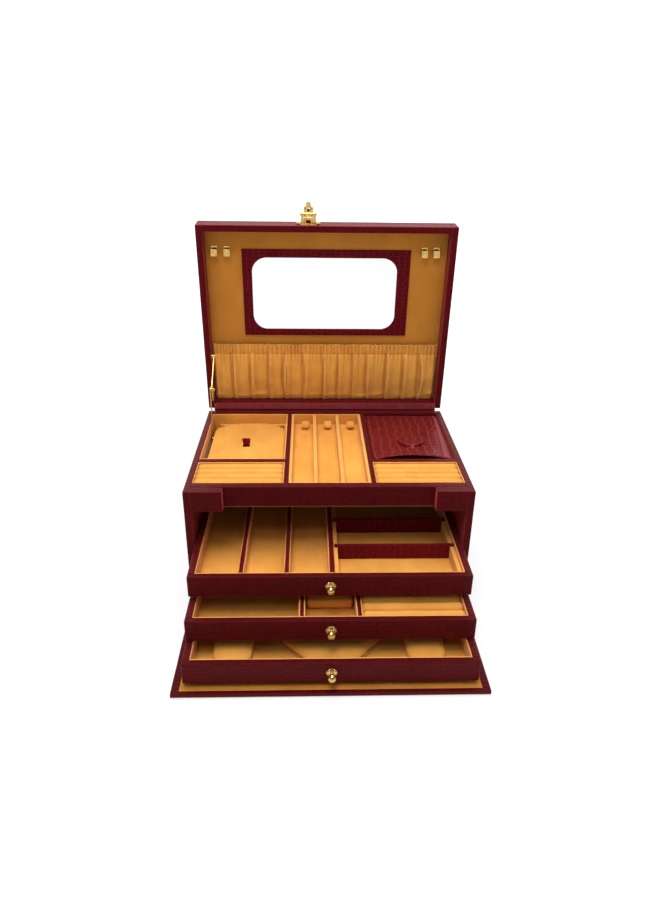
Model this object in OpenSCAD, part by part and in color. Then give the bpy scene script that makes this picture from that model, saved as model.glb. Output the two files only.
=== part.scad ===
// Leather jewellery case: lined tray under a hinged lid, three drawers behind a fall-down front flap.
// Frame: X to the right, Y from front to back, Z up; origin under the middle of the base board.
// The case is drawn open: lid up, drawers drawn out in steps, flap down.

/* [Case] */
// Outside width of the case
case_w = 320; // [300:1:340]
// Outside depth of the case, from its front plane to its back plane
case_d = 229; // [225:1:235]
// Height of the rim of the case above the table
case_h = 161.5; // [160:0.5:164]
// Thickness of a covered side board
side_t = 7.3; // [6.5:0.1:7.5]
// Thickness of the covered back board
back_t = 11; // [10:0.5:12]
// Thickness of the base board
base_t = 6; // [5:0.5:6.5]
// Width of each front corner block
block_w = 35; // [25:1:45]
// Height of the corner blocks and of the front rail
rail_h = 24.8; // [22:0.1:26]
// How far the front rail and the closed drawers stand behind the front plane
rail_recess = 12.1; // [8:0.1:13]
// Thickness of the front rail
rail_t = 9.9; // [8:0.1:11]

/* [Tray] */
// Depth of the ring roll beds, front to back
bed_d = 51.2; // [48:0.1:54]
// Thickness of the bar behind each ring roll bed
cross_t = 8.1; // [6:0.1:9]
// Left edge of the middle bay
mid_x0 = -45.9; // [-50:0.1:-42]
// Right edge of the middle bay
mid_x1 = 47.4; // [44:0.1:50]
// Thickness of the bars beside the middle bay
bar_t = 5.3; // [4:0.1:6]
// Height of the floor under the two back bays
deep_z = 104; // [102:0.5:106]
// Height of the floor under the ring roll beds
bed_z = 134; // [132:0.5:136]
// Height of the floor under the middle bay
mid_z = 142; // [140:0.5:143]
// Thickness of a tray floor
tray_t = 3; // [2:0.5:3]
// Thickness of the suede lining with its card
lining_t = 1.2; // [0.8:0.1:1.4]
// Height of the ledge under the suede cover and the travel wallet
ledge_z = 146.8; // [144:0.1:148]

/* [Lid] */
// Angle of the open lid, measured from closed
lid_open = 86; // [80:0.5:95]
// Depth of the lid, back edge to front edge
lid_d = 245; // [240:1:250]
// Height of the lid
lid_h = 24.9; // [22:0.1:30]
// Thickness of the lid walls
lid_wall = 7.9; // [7:0.1:9]
// Height of the lid lining above the rim of the lid
lid_inner = 19.8; // [18:0.1:20]
// Distance from the hinge line to the back edge of the lid
lid_gap = 2.7; // [2:0.1:4]
// Half width of the mirror frame
mirror_half = 105.5; // [95:0.5:112]
// Height of the mirror frame's lower edge above the back edge of the lid
mirror_u0 = 101.5; // [95:0.5:105]
// Height of the mirror frame's upper edge above the back edge of the lid
mirror_u1 = 212; // [200:0.5:216]
// Height of the top of the gathered pocket
pocket_u = 88.5; // [70:0.5:90]

/* [Drawers] */
// Width of a drawer
drawer_w = 302.2; // [300:0.1:302.4]
// Length of a drawer, front to back
drawer_l = 203; // [190:1:204]
// Height of a drawer
drawer_h = 25; // [22:0.5:25]
// Thickness of the covered drawer boards
drawer_t = 7.3; // [6.5:0.1:7.5]
// Underside of the top, middle and bottom drawer
drawer_z = [69, 37, 10.5]; // [0:0.5:80]
// How far each drawer front stands before the front plane
drawer_out = [60.7, 92.9, 125.6]; // [0:0.1:140]

/* [Flap] */
// Width of the flap
flap_w = 323; // [321:0.5:330]
// Length of the flap
flap_l = 132.6; // [128:0.1:134]
// Thickness of the flap
flap_t = 5; // [4:0.5:5]

/* [Hidden] */
$fn = 48;
FRONT = -case_d / 2;
BACK = case_d / 2;
SEAM = 0.1;
LEATHER = [0.36, 0.05, 0.09];
WINE = [0.45, 0.06, 0.08];
SUEDE = [0.90, 0.65, 0.35];
BRASS = [0.83, 0.66, 0.30];
BOARD = [0.45, 0.32, 0.20];
inner_x = case_w / 2 - side_t;
tray_y0 = FRONT + rail_recess + rail_t;
tray_y1 = BACK - back_t;
cross_y0 = tray_y0 + bed_d;
cross_y1 = cross_y0 + cross_t;
rail_z = case_h - rail_h;
rim_z = case_h - 0.3;
hinge_y = BACK + 1.2;
hinge_z = case_h + 0.6;
lid_front = lid_gap + lid_d;
inlay_t = 1;
runner_z = 12.5;
runner_h = 4;
groove_d = 3.4;
inner_half = drawer_w / 2 - drawer_t;
cell_half = inner_half - lining_t - SEAM;
roll_pitch = 12.1;
roll_r = 5.9;
// Stay: pivot on the case, pivot on the lid, and the two arm lengths
stay_py = FRONT + 182;
stay_pz = 141;
stay_qu = 77.7;
stay_qw = 4;
stay_low = 67;
stay_low_angle = 85;
stay_x = -case_w / 2 + 9.5;
stay_pin_r = 1.5;
arm_t = 1.2;
// Latch on the front wall of the lid
latch_x = -23.3;
latch_pin_r = 1.15;
latch_lift = 12;
latch_w = 9.6;

// Box between two corners
module block(a, b) {
  translate(a) cube(b - a);
}

// Rectangle with rounded corners, centred on x
module round_rect(x0, x1, y0, y1, r) {
  translate([x0 + r, y0]) square([x1 - x0 - 2 * r, y1 - y0]);
  translate([x0, y0 + r]) square([x1 - x0, y1 - y0 - 2 * r]);
  for (x = [x0 + r, x1 - r], y = [y0 + r, y1 - r]) translate([x, y]) circle(r);
}

// Open-topped lining shell that fills a bay between two corners
module lining_shell(a, b, side) {
  difference() {
    block(a, b);
    block(a + [side, lining_t, lining_t], [b[0] - side, b[1] - lining_t, b[2] + 1]);
  }
}

// Cylinder along X from x0 to x1 at (y, z)
module rod_x(x0, x1, y, z, r) {
  translate([x0, y, z]) rotate([0, 90, 0]) cylinder(r = r, h = x1 - x0);
}

// Strap loop that stands on the floor at z: two legs of the given height under a half ring
module strap_loop(x, y, z, width, leg, r, t) {
  translate([x - width / 2, y, z + leg]) rotate([0, 90, 0]) rotate([0, 0, 90])
    rotate_extrude(angle = 180) translate([r - t, 0]) square([t, width]);
  for (side = [0, 1]) translate([x - width / 2, y, z]) mirror([0, side, 0])
    translate([0, r - t, 0]) cube([width, t, leg + 0.01]);
}

// Children are drawn on the closed lid: x across, y backward from the hinge line, z up from the rim
module on_lid() {
  translate([0, hinge_y, hinge_z]) rotate([-lid_open, 0, 0]) children();
}

// Box on the lid, with u counted from the back edge of the lid
module lid_block(x0, x1, u0, u1, w0, w1) {
  block([x0, -lid_gap - u1, w0], [x1, -lid_gap - u0, w1]);
}

// ---------------------------------------------------------------- case
module base_board() {
  color(LEATHER) block([-case_w / 2, FRONT, 0], [case_w / 2, BACK, base_t]);
}

module side_wall(side) {
  x0 = side > 0 ? inner_x : -case_w / 2;
  color(LEATHER) block([x0, FRONT, base_t], [x0 + side_t, BACK, case_h]);
}

module back_wall() {
  color(LEATHER) block([-inner_x, tray_y1, base_t], [inner_x, BACK, case_h]);
}

module front_rail() {
  color(LEATHER) block([-inner_x, FRONT + rail_recess, rail_z], [inner_x, tray_y0, case_h]);
}

module corner_block(side) {
  x0 = side > 0 ? inner_x - block_w : -inner_x;
  color(LEATHER) block([x0, FRONT, rail_z], [x0 + block_w, FRONT + rail_recess, case_h]);
}

// One wooden strip a side for each drawer, which the grooves of the drawer slide on
module drawer_runners() {
  y0 = FRONT + rail_recess + drawer_t + 0.6;
  tip = drawer_w / 2 - groove_d + 0.3;
  color(BOARD) for (z = drawer_z, side = [-1, 1])
    translate([side > 0 ? tip : -inner_x, y0, z + runner_z - runner_h / 2])
      cube([inner_x - tip, tray_y1 - 2 - y0, runner_h]);
}

// ---------------------------------------------------------------- tray
module tray_floor() {
  bar_x0 = mid_x0 - bar_t;
  bar_x1 = mid_x1 + bar_t;
  color(BOARD) {
    block([-inner_x, tray_y0, bed_z], [inner_x, cross_y0, bed_z + tray_t]);
    block([-inner_x, cross_y1 + SEAM, deep_z], [bar_x0 - SEAM, tray_y1, deep_z + tray_t]);
    block([bar_x1 + SEAM, cross_y1 + SEAM, deep_z], [inner_x, tray_y1, deep_z + tray_t]);
    block([mid_x0, tray_y0, mid_z], [mid_x1, tray_y1, mid_z + tray_t]);
  }
}

// Bar beside the middle bay: shallow over the ring roll bed, deep beside the back bay
module tray_bar(x0) {
  color(LEATHER) {
    block([x0, tray_y0, bed_z + tray_t], [x0 + bar_t, cross_y0, case_h]);
    block([x0, cross_y0 + SEAM, deep_z], [x0 + bar_t, tray_y1, case_h]);
  }
}

module tray_cross_bars() {
  color(LEATHER) {
    block([-inner_x, cross_y0 + SEAM, deep_z], [mid_x0 - bar_t, cross_y1, case_h]);
    block([mid_x1 + bar_t, cross_y0 + SEAM, deep_z], [inner_x, cross_y1, case_h]);
  }
}

module side_linings(x0, x1) {
  lo = bed_z + tray_t + 0.05;
  deep = deep_z + tray_t + 0.05;
  color(SUEDE) {
    lining_shell([x0, tray_y0 + SEAM, lo], [x1, cross_y0 - SEAM, rim_z], lining_t);
    lining_shell([x0, cross_y1 + SEAM, deep], [x1, tray_y1 - SEAM, rim_z], lining_t);
  }
}

module tray_lining_left() {
  side_linings(-inner_x + SEAM, mid_x0 - bar_t - SEAM);
}

module tray_lining_right() {
  side_linings(mid_x1 + bar_t + SEAM, inner_x - SEAM);
}

module tray_lining_middle() {
  z0 = mid_z + tray_t + 0.05;
  color(SUEDE) lining_shell(
    [mid_x0 + SEAM, tray_y0 + SEAM, z0], [mid_x1 - SEAM, tray_y1 - SEAM, rim_z], 3.4
  );
}

// Ledges that carry the suede cover on the left and the travel wallet on the right
module tray_ledges() {
  y0 = cross_y1 + SEAM + lining_t + 0.05;
  y1 = tray_y1 - SEAM - lining_t - 0.05;
  x1 = mid_x0 - bar_t - SEAM - lining_t - 0.05;
  x2 = mid_x1 + bar_t + SEAM + lining_t + 0.05;
  x3 = inner_x - SEAM - lining_t - 0.05;
  color(SUEDE) {
    block([-144, y0, ledge_z - 3], [x1, y0 + 3.6, ledge_z]);
    block([-144, y1 - 3.6, ledge_z - 3], [x1, y1, ledge_z]);
    block([x1 - 3.6, y0 + 3.8, ledge_z - 3], [x1, y1 - 3.8, ledge_z]);
    for (x = [x2, x3 - 3.6]) block([x, y0 + 3.8, ledge_z - 4.5], [x + 3.6, y1 - 3.8, ledge_z - 1.5]);
    for (y = [y0, y1 - 3.6]) block([x2, y, ledge_z - 4.5], [x3, y + 3.6, ledge_z - 1.5]);
  }
}

// Two dividers make three channels in the middle bay
channel_x = [-15, 15.7];
module channel_dividers() {
  z0 = mid_z + tray_t + lining_t + 0.1;
  color(SUEDE) for (x = channel_x)
    block([x - 2.2, tray_y0 + 1.4, z0], [x + 2.2, tray_y1 - 1.4, case_h - 0.7]);
}

// One strap loop at the back of each channel holds the end of a chain
module chain_loops() {
  z0 = mid_z + tray_t + lining_t + 0.1;
  color(SUEDE) for (x = [-27.6, 2.6, 33.5]) strap_loop(x, FRONT + 203, z0, 8.5, 5, 8.5, 1.5);
}

// Slab and four rolls that grip rings between them
module ring_rolls(x0, x1) {
  z0 = bed_z + tray_t + lining_t + 0.1;
  y_mid = (tray_y0 + cross_y0) / 2;
  color(SUEDE) {
    block([x0, y_mid - 2 * roll_pitch, z0], [x1, y_mid + 2 * roll_pitch, z0 + 8.4]);
    for (k = [-1.5 : 1 : 1.5]) rod_x(x0, x1, y_mid + k * roll_pitch, z0 + 8.5 + roll_r, roll_r);
  }
}

module ring_rolls_left() {
  ring_rolls(-inner_x + SEAM + lining_t + 0.1, mid_x0 - bar_t - SEAM - lining_t - 0.1);
}

module ring_rolls_right() {
  ring_rolls(mid_x1 + bar_t + SEAM + lining_t + 0.1, inner_x - SEAM - lining_t - 0.1);
}

// ---------------------------------------------------------------- cover and wallet
cover_x0 = -144;
cover_x1 = -54;
cover_y0 = FRONT + 83.2;
cover_y1 = FRONT + 215;
cover_r = 30;
cover_t = 2;

// Stiff suede cover over the left back bay, hinged along its front edge
module suede_cover() {
  z0 = ledge_z + 0.1;
  color(SUEDE) translate([0, 0, z0]) linear_extrude(cover_t) {
    translate([cover_x0, cover_y0]) square([cover_x1 - cover_x0, cover_y1 - cover_r - cover_y0]);
    translate([cover_x0 + cover_r, cover_y0])
      square([cover_x1 - cover_x0 - 2 * cover_r, cover_y1 - cover_y0]);
    for (x = [cover_x0 + cover_r, cover_x1 - cover_r])
      translate([x, cover_y1 - cover_r]) circle(cover_r);
  }
}

// Leather pull tab that stands on the cover
module cover_tab() {
  z0 = ledge_z + 0.2 + cover_t;
  color(LEATHER) translate([-102, FRONT + 146, z0]) rotate([90, 0, 0]) linear_extrude(1.6)
    polygon([[-3.4, 0], [3.4, 0], [5, 11], [-5, 11]]);
}

wallet_x0 = 54.2;
wallet_x1 = 151.1;
wallet_y0 = FRONT + 83;
wallet_y1 = FRONT + 216;

// Travel wallet that lifts out of the right back bay
module travel_wallet() {
  color(WINE) translate([0, 0, ledge_z - 1.4]) linear_extrude(11.5)
    round_rect(wallet_x0, wallet_x1, wallet_y0, wallet_y1, 6);
}

// Flap of the wallet, folded over from the back and tucked under a strap
module travel_wallet_flap() {
  color(WINE) translate([0, 0, ledge_z + 10.2]) linear_extrude(2)
    round_rect(wallet_x0, wallet_x1, wallet_y0, wallet_y1, 6);
}

// ---------------------------------------------------------------- leather hinges
module lid_hinge_strip() {
  color(LEATHER) block([-150, BACK - 9, case_h + 0.05], [150, BACK, case_h + 0.4]);
}

module flap_hinge_strip() {
  color(LEATHER) block([-150, FRONT + 0.4, base_t + 0.05], [150, FRONT + 9, base_t + 0.5]);
}

// ---------------------------------------------------------------- lid
module lid_panel() {
  color(LEATHER) on_lid()
    lid_block(-case_w / 2, case_w / 2, 0, lid_d, lid_inner + 1.1, lid_h);
}

module lid_side_wall(side) {
  x0 = side > 0 ? case_w / 2 - lid_wall : -case_w / 2;
  color(LEATHER) on_lid() lid_block(x0, x0 + lid_wall, 0, lid_d, 0, lid_inner + 1);
}

module lid_cross_wall(u0) {
  x = case_w / 2 - lid_wall - SEAM;
  color(LEATHER) on_lid() lid_block(-x, x, u0, u0 + lid_wall, 0, lid_inner + 1);
}

module lid_lining() {
  x = case_w / 2 - lid_wall - SEAM;
  color(SUEDE) on_lid()
    lid_block(-x, x, lid_wall + SEAM, lid_d - lid_wall - SEAM, lid_inner, lid_inner + 1);
}

// Outline of the mirror opening, drawn in x and u, and grown by g
module mirror_opening(g) {
  round_rect(-96 - g, 90 + g, mirror_u0 + 6.8 - g, mirror_u1 - 9.9 + g, 17.5 + g);
}

module mirror_frame() {
  color(LEATHER) on_lid() translate([0, -lid_gap, lid_inner - 1.9]) mirror([0, 1, 0])
    linear_extrude(1.85) difference() {
      translate([-mirror_half, mirror_u0]) square([2 * mirror_half, mirror_u1 - mirror_u0]);
      mirror_opening(0);
    }
}

module mirror_glass() {
  color("silver") on_lid() translate([0, -lid_gap, lid_inner - 1.1]) mirror([0, 1, 0])
    linear_extrude(1.05) mirror_opening(-0.1);
}

// Two pairs of bent brass strips that necklaces hang from
module necklace_hooks() {
  profile = [[0, 0], [0, 12], [1, 12], [1, 1], [5.2, 1], [5.2, 9], [6.2, 9], [6.2, 0]];
  color(BRASS) on_lid() for (x = [-141, -125, 123, 138])
    translate([x - 4, -lid_gap - 204, lid_inner - 0.05]) rotate([90, 0, 90]) linear_extrude(8)
      polygon([for (p = profile) [-p[1], -p[0]]]);
}

// Gathered suede pocket, open along its top edge
module lid_pocket() {
  x = case_w / 2 - lid_wall - 2 * SEAM;
  color(SUEDE) on_lid()
    lid_block(-x, x, lid_wall + SEAM, pocket_u, lid_inner - 8.6, lid_inner - 7.1);
}

// ---------------------------------------------------------------- latch
// Children are drawn with z outward from the front wall of the lid and y toward the lid panel
module on_latch() {
  on_lid() translate([latch_x, -lid_front, latch_w]) rotate([90, 0, 0]) children();
}

module latch_plate() {
  color(BRASS) on_latch() difference() {
    union() {
      translate([0, 3.2, 0.05]) linear_extrude(1.2) {
        translate([-9.5, -10.5]) square([19, 21]);
        for (x = [-9.6, 9.6]) translate([x, 0]) circle(5.4);
      }
      for (x = [-9, 5.8]) {
        translate([x, -2.6, 1.2]) cube([3.2, 5.2, latch_lift - 1.2]);
        rod_x(x, x + 3.2, 0, latch_lift, 2.6);
      }
    }
    rod_x(-12, 12, 0, latch_lift, latch_pin_r + 0.02);
  }
}

module latch_pin() {
  color(BRASS) on_latch() rod_x(-9.5, 9.5, 0, latch_lift, latch_pin_r);
}

// Hasp that swings down over the front; it stands straight out while the lid is open
module latch_lever() {
  color(BRASS) on_latch() difference() {
    union() {
      rod_x(-5.6, 5.6, 0, latch_lift, 2.4);
      translate([0, 0.9, latch_lift]) rotate([90, 0, 0]) linear_extrude(1.8) {
        polygon([[-5.5, 0], [5.5, 0], [5.5, 7.5], [2.6, 12.5], [-2.6, 12.5], [-5.5, 7.5]]);
        translate([0, 14]) circle(2.9);
      }
    }
    rod_x(-12, 12, 0, latch_lift, latch_pin_r + 0.05);
    translate([-1.6, -3, latch_lift + 3.6]) cube([3.2, 6, 5]);
  }
}

// ---------------------------------------------------------------- lid stay
// Flat arm from one pivot to the other end, in the plane x0 to x0 + arm_t
module stay_arm(x0, len, angle, eye_r, end_r) {
  translate([x0, 0, 0]) rotate([angle, 0, 0]) difference() {
    union() {
      rod_x(0, arm_t, 0, 0, eye_r);
      rod_x(0, arm_t, len, 0, end_r);
      translate([0, 0, -1.9]) cube([arm_t, len, 3.8]);
    }
    rod_x(-1, arm_t + 1, 0, 0, stay_pin_r + 0.05);
  }
}

module stay_case_pivot() {
  color(BRASS) {
    x0 = -inner_x + SEAM + lining_t + 0.05;
    block([x0, stay_py - 5, stay_pz - 7], [x0 + 0.5, stay_py + 5, stay_pz + 5]);
    rod_x(x0 + 0.4, stay_x + arm_t + 0.9, stay_py, stay_pz, stay_pin_r);
    rod_x(stay_x + arm_t + 0.1, stay_x + arm_t + 1, stay_py, stay_pz, 2.8);
  }
}

module stay_lower_arm() {
  color(BRASS) translate([0, stay_py, stay_pz])
    stay_arm(stay_x, stay_low, stay_low_angle, 3.4, 3.8);
}

// Place of the elbow, and the length and direction of the upper arm that meets it
elbow_y = stay_py + stay_low * cos(stay_low_angle);
elbow_z = stay_pz + stay_low * sin(stay_low_angle);
stay_qy = hinge_y - stay_qu * cos(lid_open) + stay_qw * sin(lid_open);
stay_qz = hinge_z + stay_qu * sin(lid_open) + stay_qw * cos(lid_open);
stay_up = norm([elbow_y - stay_qy, elbow_z - stay_qz]);
stay_up_angle = atan2(elbow_z - stay_qz, elbow_y - stay_qy);

module stay_upper_arm() {
  color(BRASS) translate([0, stay_qy, stay_qz]) {
    stay_arm(stay_x + arm_t + 0.2, stay_up, stay_up_angle, 3, 3.4);
    rotate([stay_up_angle, 0, 0])
      rod_x(stay_x + 2 * arm_t + 0.15, stay_x + 2 * arm_t + 0.9, stay_up, 0, 2.4);
  }
}

module stay_lid_pivot() {
  wall_x = -case_w / 2 + lid_wall + 0.05;
  arm_x = stay_x + arm_t + 0.2;
  color(BRASS) on_lid() {
    block([wall_x, -stay_qu - 5, stay_qw - 3.5], [wall_x + 0.5, -stay_qu + 5, stay_qw + 6]);
    rod_x(wall_x + 0.4, arm_x - 0.15, -stay_qu, stay_qw, 2.4);
    rod_x(arm_x - 0.2, arm_x + arm_t + 0.9, -stay_qu, stay_qw, stay_pin_r);
    rod_x(arm_x + arm_t + 0.1, arm_x + arm_t + 0.9, -stay_qu, stay_qw, 2.8);
  }
}

// ---------------------------------------------------------------- drawers
function front_of(k) = FRONT - drawer_out[k];
function floor_of(k) = drawer_z[k] + 3;

// Five boards face to face; the sides are grooved for the runners and the front is bored for the knob
module drawer_box(k) {
  y0 = front_of(k);
  y1 = y0 + drawer_l;
  z0 = drawer_z[k];
  z1 = z0 + drawer_h;
  half = drawer_w / 2;
  color(LEATHER) {
    difference() {
      block([-half, y0, z0], [half, y0 + drawer_t, z1]);
      translate([0, y0 - 1, z0 + drawer_h / 2]) rotate([-90, 0, 0]) cylinder(r = 1.6, h = 20);
    }
    for (side = [0, 1]) mirror([side, 0, 0]) difference() {
      block([inner_half, y0 + drawer_t + SEAM, z0], [half, y1, z1]);
      block([half - groove_d, y0, z0 + runner_z - 2.3], [half + 1, y1 + 1, z0 + runner_z + 2.3]);
    }
    block([SEAM - inner_half, y1 - drawer_t, z0], [inner_half - SEAM, y1, z1]);
    block(
      [SEAM - inner_half, y0 + drawer_t + SEAM, z0],
      [inner_half - SEAM, y1 - drawer_t - SEAM, z0 + 2.9]
    );
  }
}

module drawer_lining(k) {
  y0 = front_of(k) + drawer_t + SEAM;
  y1 = front_of(k) + drawer_l - drawer_t - SEAM;
  x = inner_half - SEAM;
  color(SUEDE) lining_shell([-x, y0, floor_of(k)], [x, y1, drawer_z[k] + drawer_h - 0.3], lining_t);
}

// Box inside the lining of drawer k: x from x0 to x1, full length, from the lining up to z1
module cell_block(k, x0, x1, z1) {
  y0 = front_of(k) + drawer_t + SEAM + lining_t + 0.05;
  y1 = front_of(k) + drawer_l - drawer_t - SEAM - lining_t - 0.05;
  block([x0, y0, floor_of(k) + lining_t + 0.05], [x1, y1, z1]);
}

// Turned brass knob with the screw that holds it through the front board
module knob(k) {
  profile = [[0, 0], [5.7, 0], [5.9, 0.8], [4.6, 1.9], [2.4, 2.6], [2.2, 4]];
  color(BRASS) translate([0, front_of(k) - 0.05, drawer_z[k] + drawer_h / 2]) {
    rotate([90, 0, 0]) rotate_extrude() {
      polygon(concat(profile, [[0, 4]]));
      intersection() {
        translate([0, 7.6]) circle(4.5);
        square([10, 20]);
      }
    }
    rotate([-90, 0, 0]) translate([0, 0, -1]) cylinder(r = 1.5, h = drawer_t + 0.9);
  }
}

// Long divider between the halves, two dividers on the left, and two ledges on the right
module drawer_1_dividers() {
  top = drawer_z[0] + drawer_h - 1;
  color(WINE) {
    cell_block(0, -0.5, 4.7, top);
    for (x = [-95.7, -46.7]) cell_block(0, x - 2.2, x + 2.2, top);
  }
  color(SUEDE) {
    cell_block(0, 4.9, 9.4, top - 4);
    cell_block(0, cell_half - 4.5, cell_half - 0.1, top - 4);
  }
}

// Loose divider across the right half; its ends lie on the ledges
module cross_divider(back) {
  y0 = front_of(0) + back;
  z0 = floor_of(0) + lining_t + 0.2;
  z1 = drawer_z[0] + drawer_h - 1.4;
  tab = z1 - (drawer_z[0] + drawer_h - 4.8);
  x0 = 9.7;
  x1 = cell_half - 4.8;
  color(WINE) translate([0, y0 + 3, 0]) rotate([90, 0, 0]) linear_extrude(3) polygon([
    [x0, z0], [x1, z0], [x1, z1 - tab], [x1 + 4.3, z1 - tab],
    [x1 + 4.3, z1], [x0 - 4.3, z1], [x0 - 4.3, z1 - tab], [x0, z1 - tab]
  ]);
}

module drawer_2_dividers() {
  top = drawer_z[1] + drawer_h - 1;
  color(WINE) for (x = [-30.4, 30.4]) cell_block(1, x - 3.4, x + 3.4, top);
}

// Ring rolls fill the right bay, and a cushion lies at the back of the middle bay
module drawer_2_rolls() {
  z0 = floor_of(1) + lining_t + 0.1;
  y0 = front_of(1) + drawer_t + lining_t + 0.4;
  x0 = 33.9;
  x1 = cell_half - 0.1;
  count = 14;
  pitch = (drawer_l - 2 * drawer_t - 2 * lining_t - 0.8) / count;
  color(SUEDE) {
    block([x0, y0, z0], [x1, y0 + count * pitch, z0 + 6]);
    for (k = [0.5 : count]) rod_x(x0, x1, y0 + k * pitch, z0 + 6.1 + roll_r, roll_r);
    block([-26.5, y0 + 34, z0], [26.5, y0 + 110, z0 + 14]);
  }
}

// Two rounded pads and a necklace pad with a narrow front
module drawer_3_pads() {
  y0 = front_of(2);
  z0 = floor_of(2) + lining_t + 0.1;
  color(SUEDE) translate([0, 0, z0]) {
    for (x = [-103, 101]) linear_extrude(9)
      round_rect(x - 20.5, x + 20.5, y0 + 15.6, y0 + 98, 10);
    linear_extrude(5) polygon([
      [-27, y0 + 21], [28.5, y0 + 21], [72, y0 + 71],
      [72, y0 + 150], [-72, y0 + 150], [-72, y0 + 71]
    ]);
  }
}

// ---------------------------------------------------------------- flap
flap_y1 = FRONT - 1;
flap_y0 = flap_y1 - flap_l;
flap_z = 0.4;

module flap_board() {
  x = flap_w / 2;
  top = flap_z + flap_t;
  color(LEATHER) {
    block([-x, flap_y0, flap_z], [x, flap_y1, top - 1.5]);
    for (side = [0, 1]) mirror([side, 0, 0])
      block([154.1, flap_y0, top - 1.6], [x, flap_y1, top]);
    block([-x, flap_y0, top - 1.6], [x, flap_y0 + 3.5, top]);
    block([-x, flap_y1 - 4, top - 1.6], [x, flap_y1, top]);
  }
}

module flap_inlay() {
  z0 = flap_z + flap_t - 1.45;
  color(SUEDE) block([-154, flap_y0 + 3.6, z0], [154, flap_y1 - 4.1, z0 + inlay_t]);
}

base_board();
side_wall(-1);  // side_wall_left
side_wall(1);  // side_wall_right
back_wall();
front_rail();
corner_block(-1);  // corner_block_left
corner_block(1);  // corner_block_right
drawer_runners();
tray_floor();
tray_bar(mid_x0 - bar_t);  // tray_bar_left
tray_bar(mid_x1);  // tray_bar_right
tray_cross_bars();
tray_lining_left();
tray_lining_middle();
tray_lining_right();
tray_ledges();
channel_dividers();
chain_loops();
ring_rolls_left();
ring_rolls_right();
suede_cover();
cover_tab();
travel_wallet();
travel_wallet_flap();
lid_hinge_strip();
flap_hinge_strip();
lid_panel();
lid_side_wall(-1);  // lid_wall_left
lid_side_wall(1);  // lid_wall_right
lid_cross_wall(lid_d - lid_wall);  // lid_wall_front
lid_cross_wall(0);  // lid_wall_back
lid_lining();
mirror_frame();
mirror_glass();
necklace_hooks();
lid_pocket();
latch_plate();
latch_pin();
latch_lever();
stay_case_pivot();
stay_lower_arm();
stay_upper_arm();
stay_lid_pivot();
drawer_box(0);  // drawer_1_box
drawer_lining(0);  // drawer_1_lining
drawer_1_dividers();
knob(0);  // drawer_1_knob
cross_divider(116);  // drawer_1_cross_rear
cross_divider(61.5);  // drawer_1_cross_front
drawer_box(1);  // drawer_2_box
drawer_lining(1);  // drawer_2_lining
drawer_2_dividers();
drawer_2_rolls();
knob(1);  // drawer_2_knob
drawer_box(2);  // drawer_3_box
drawer_lining(2);  // drawer_3_lining
drawer_3_pads();
knob(2);  // drawer_3_knob
flap_board();
flap_inlay();
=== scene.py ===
import bisect
import itertools
import math
import random

import bmesh
import bpy
import numpy as np
from mathutils import Matrix, Vector, noise


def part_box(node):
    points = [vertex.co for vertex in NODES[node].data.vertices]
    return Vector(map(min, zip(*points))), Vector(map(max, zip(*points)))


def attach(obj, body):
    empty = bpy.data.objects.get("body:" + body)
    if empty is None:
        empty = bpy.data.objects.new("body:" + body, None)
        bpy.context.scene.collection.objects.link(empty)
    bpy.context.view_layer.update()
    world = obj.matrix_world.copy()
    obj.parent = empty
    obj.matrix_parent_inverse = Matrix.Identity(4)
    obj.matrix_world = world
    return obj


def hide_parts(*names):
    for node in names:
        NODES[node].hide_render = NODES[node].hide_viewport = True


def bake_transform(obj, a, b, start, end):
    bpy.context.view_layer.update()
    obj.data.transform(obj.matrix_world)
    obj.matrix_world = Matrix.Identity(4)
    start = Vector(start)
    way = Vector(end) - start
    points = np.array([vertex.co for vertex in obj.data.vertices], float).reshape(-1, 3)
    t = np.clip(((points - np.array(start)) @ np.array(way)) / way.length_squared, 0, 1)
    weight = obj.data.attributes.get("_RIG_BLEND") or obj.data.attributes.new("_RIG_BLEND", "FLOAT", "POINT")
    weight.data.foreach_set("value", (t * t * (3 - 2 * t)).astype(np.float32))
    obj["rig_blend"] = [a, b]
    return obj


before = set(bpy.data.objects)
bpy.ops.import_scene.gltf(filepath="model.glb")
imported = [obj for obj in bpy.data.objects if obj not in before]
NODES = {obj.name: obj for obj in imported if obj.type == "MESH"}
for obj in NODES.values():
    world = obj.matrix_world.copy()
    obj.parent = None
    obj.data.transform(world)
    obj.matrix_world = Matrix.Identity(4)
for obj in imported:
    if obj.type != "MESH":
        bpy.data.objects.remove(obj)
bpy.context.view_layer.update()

# Lengths are in millimetres until a mesh is built. The case's frame has X to the right, Y to the back, Z up.
MM = 0.001
FRONT = -114.5                                   # front edge of the case's side walls
HINGE_Y, HINGE_Z = 115.7, 162.1                  # axis of the lid's hinge
LID_GAP = 2.7                                    # from that axis to the lid's back wall
LID_ANGLE = -86                                  # the open lid, from its shut position
CASE = Matrix.Identity(4)
LID = (Matrix.Translation((0, HINGE_Y * MM, HINGE_Z * MM))
       @ Matrix.Rotation(math.radians(LID_ANGLE), 4, "X"))
ROUNDING = (1.0, 0.577, 0.268, 0.0)              # where a rounded edge is cut, as shares of its radius


# ---------------------------------------------------------------- materials
EDGE_WEAR_AND_HIGHLIGHT = 0.22                                 # how far leather edges fade to a lighter red, as wear and painted highlight
DISORDER = 0.44                                  # how uneven the rows of leather scales are
SUEDE_SHEEN = 0.16


def grey(*stops):
    return [(at, (value, value, value)) for at, value in stops]


def put(nt, value, socket):
    """Links a socket to the output of another node, or sets it to a number or colour."""
    if isinstance(value, bpy.types.NodeSocket):
        nt.links.new(value, socket)
    elif socket.type == "RGBA":
        socket.default_value = (*value, 1)
    else:
        socket.default_value = value


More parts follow.
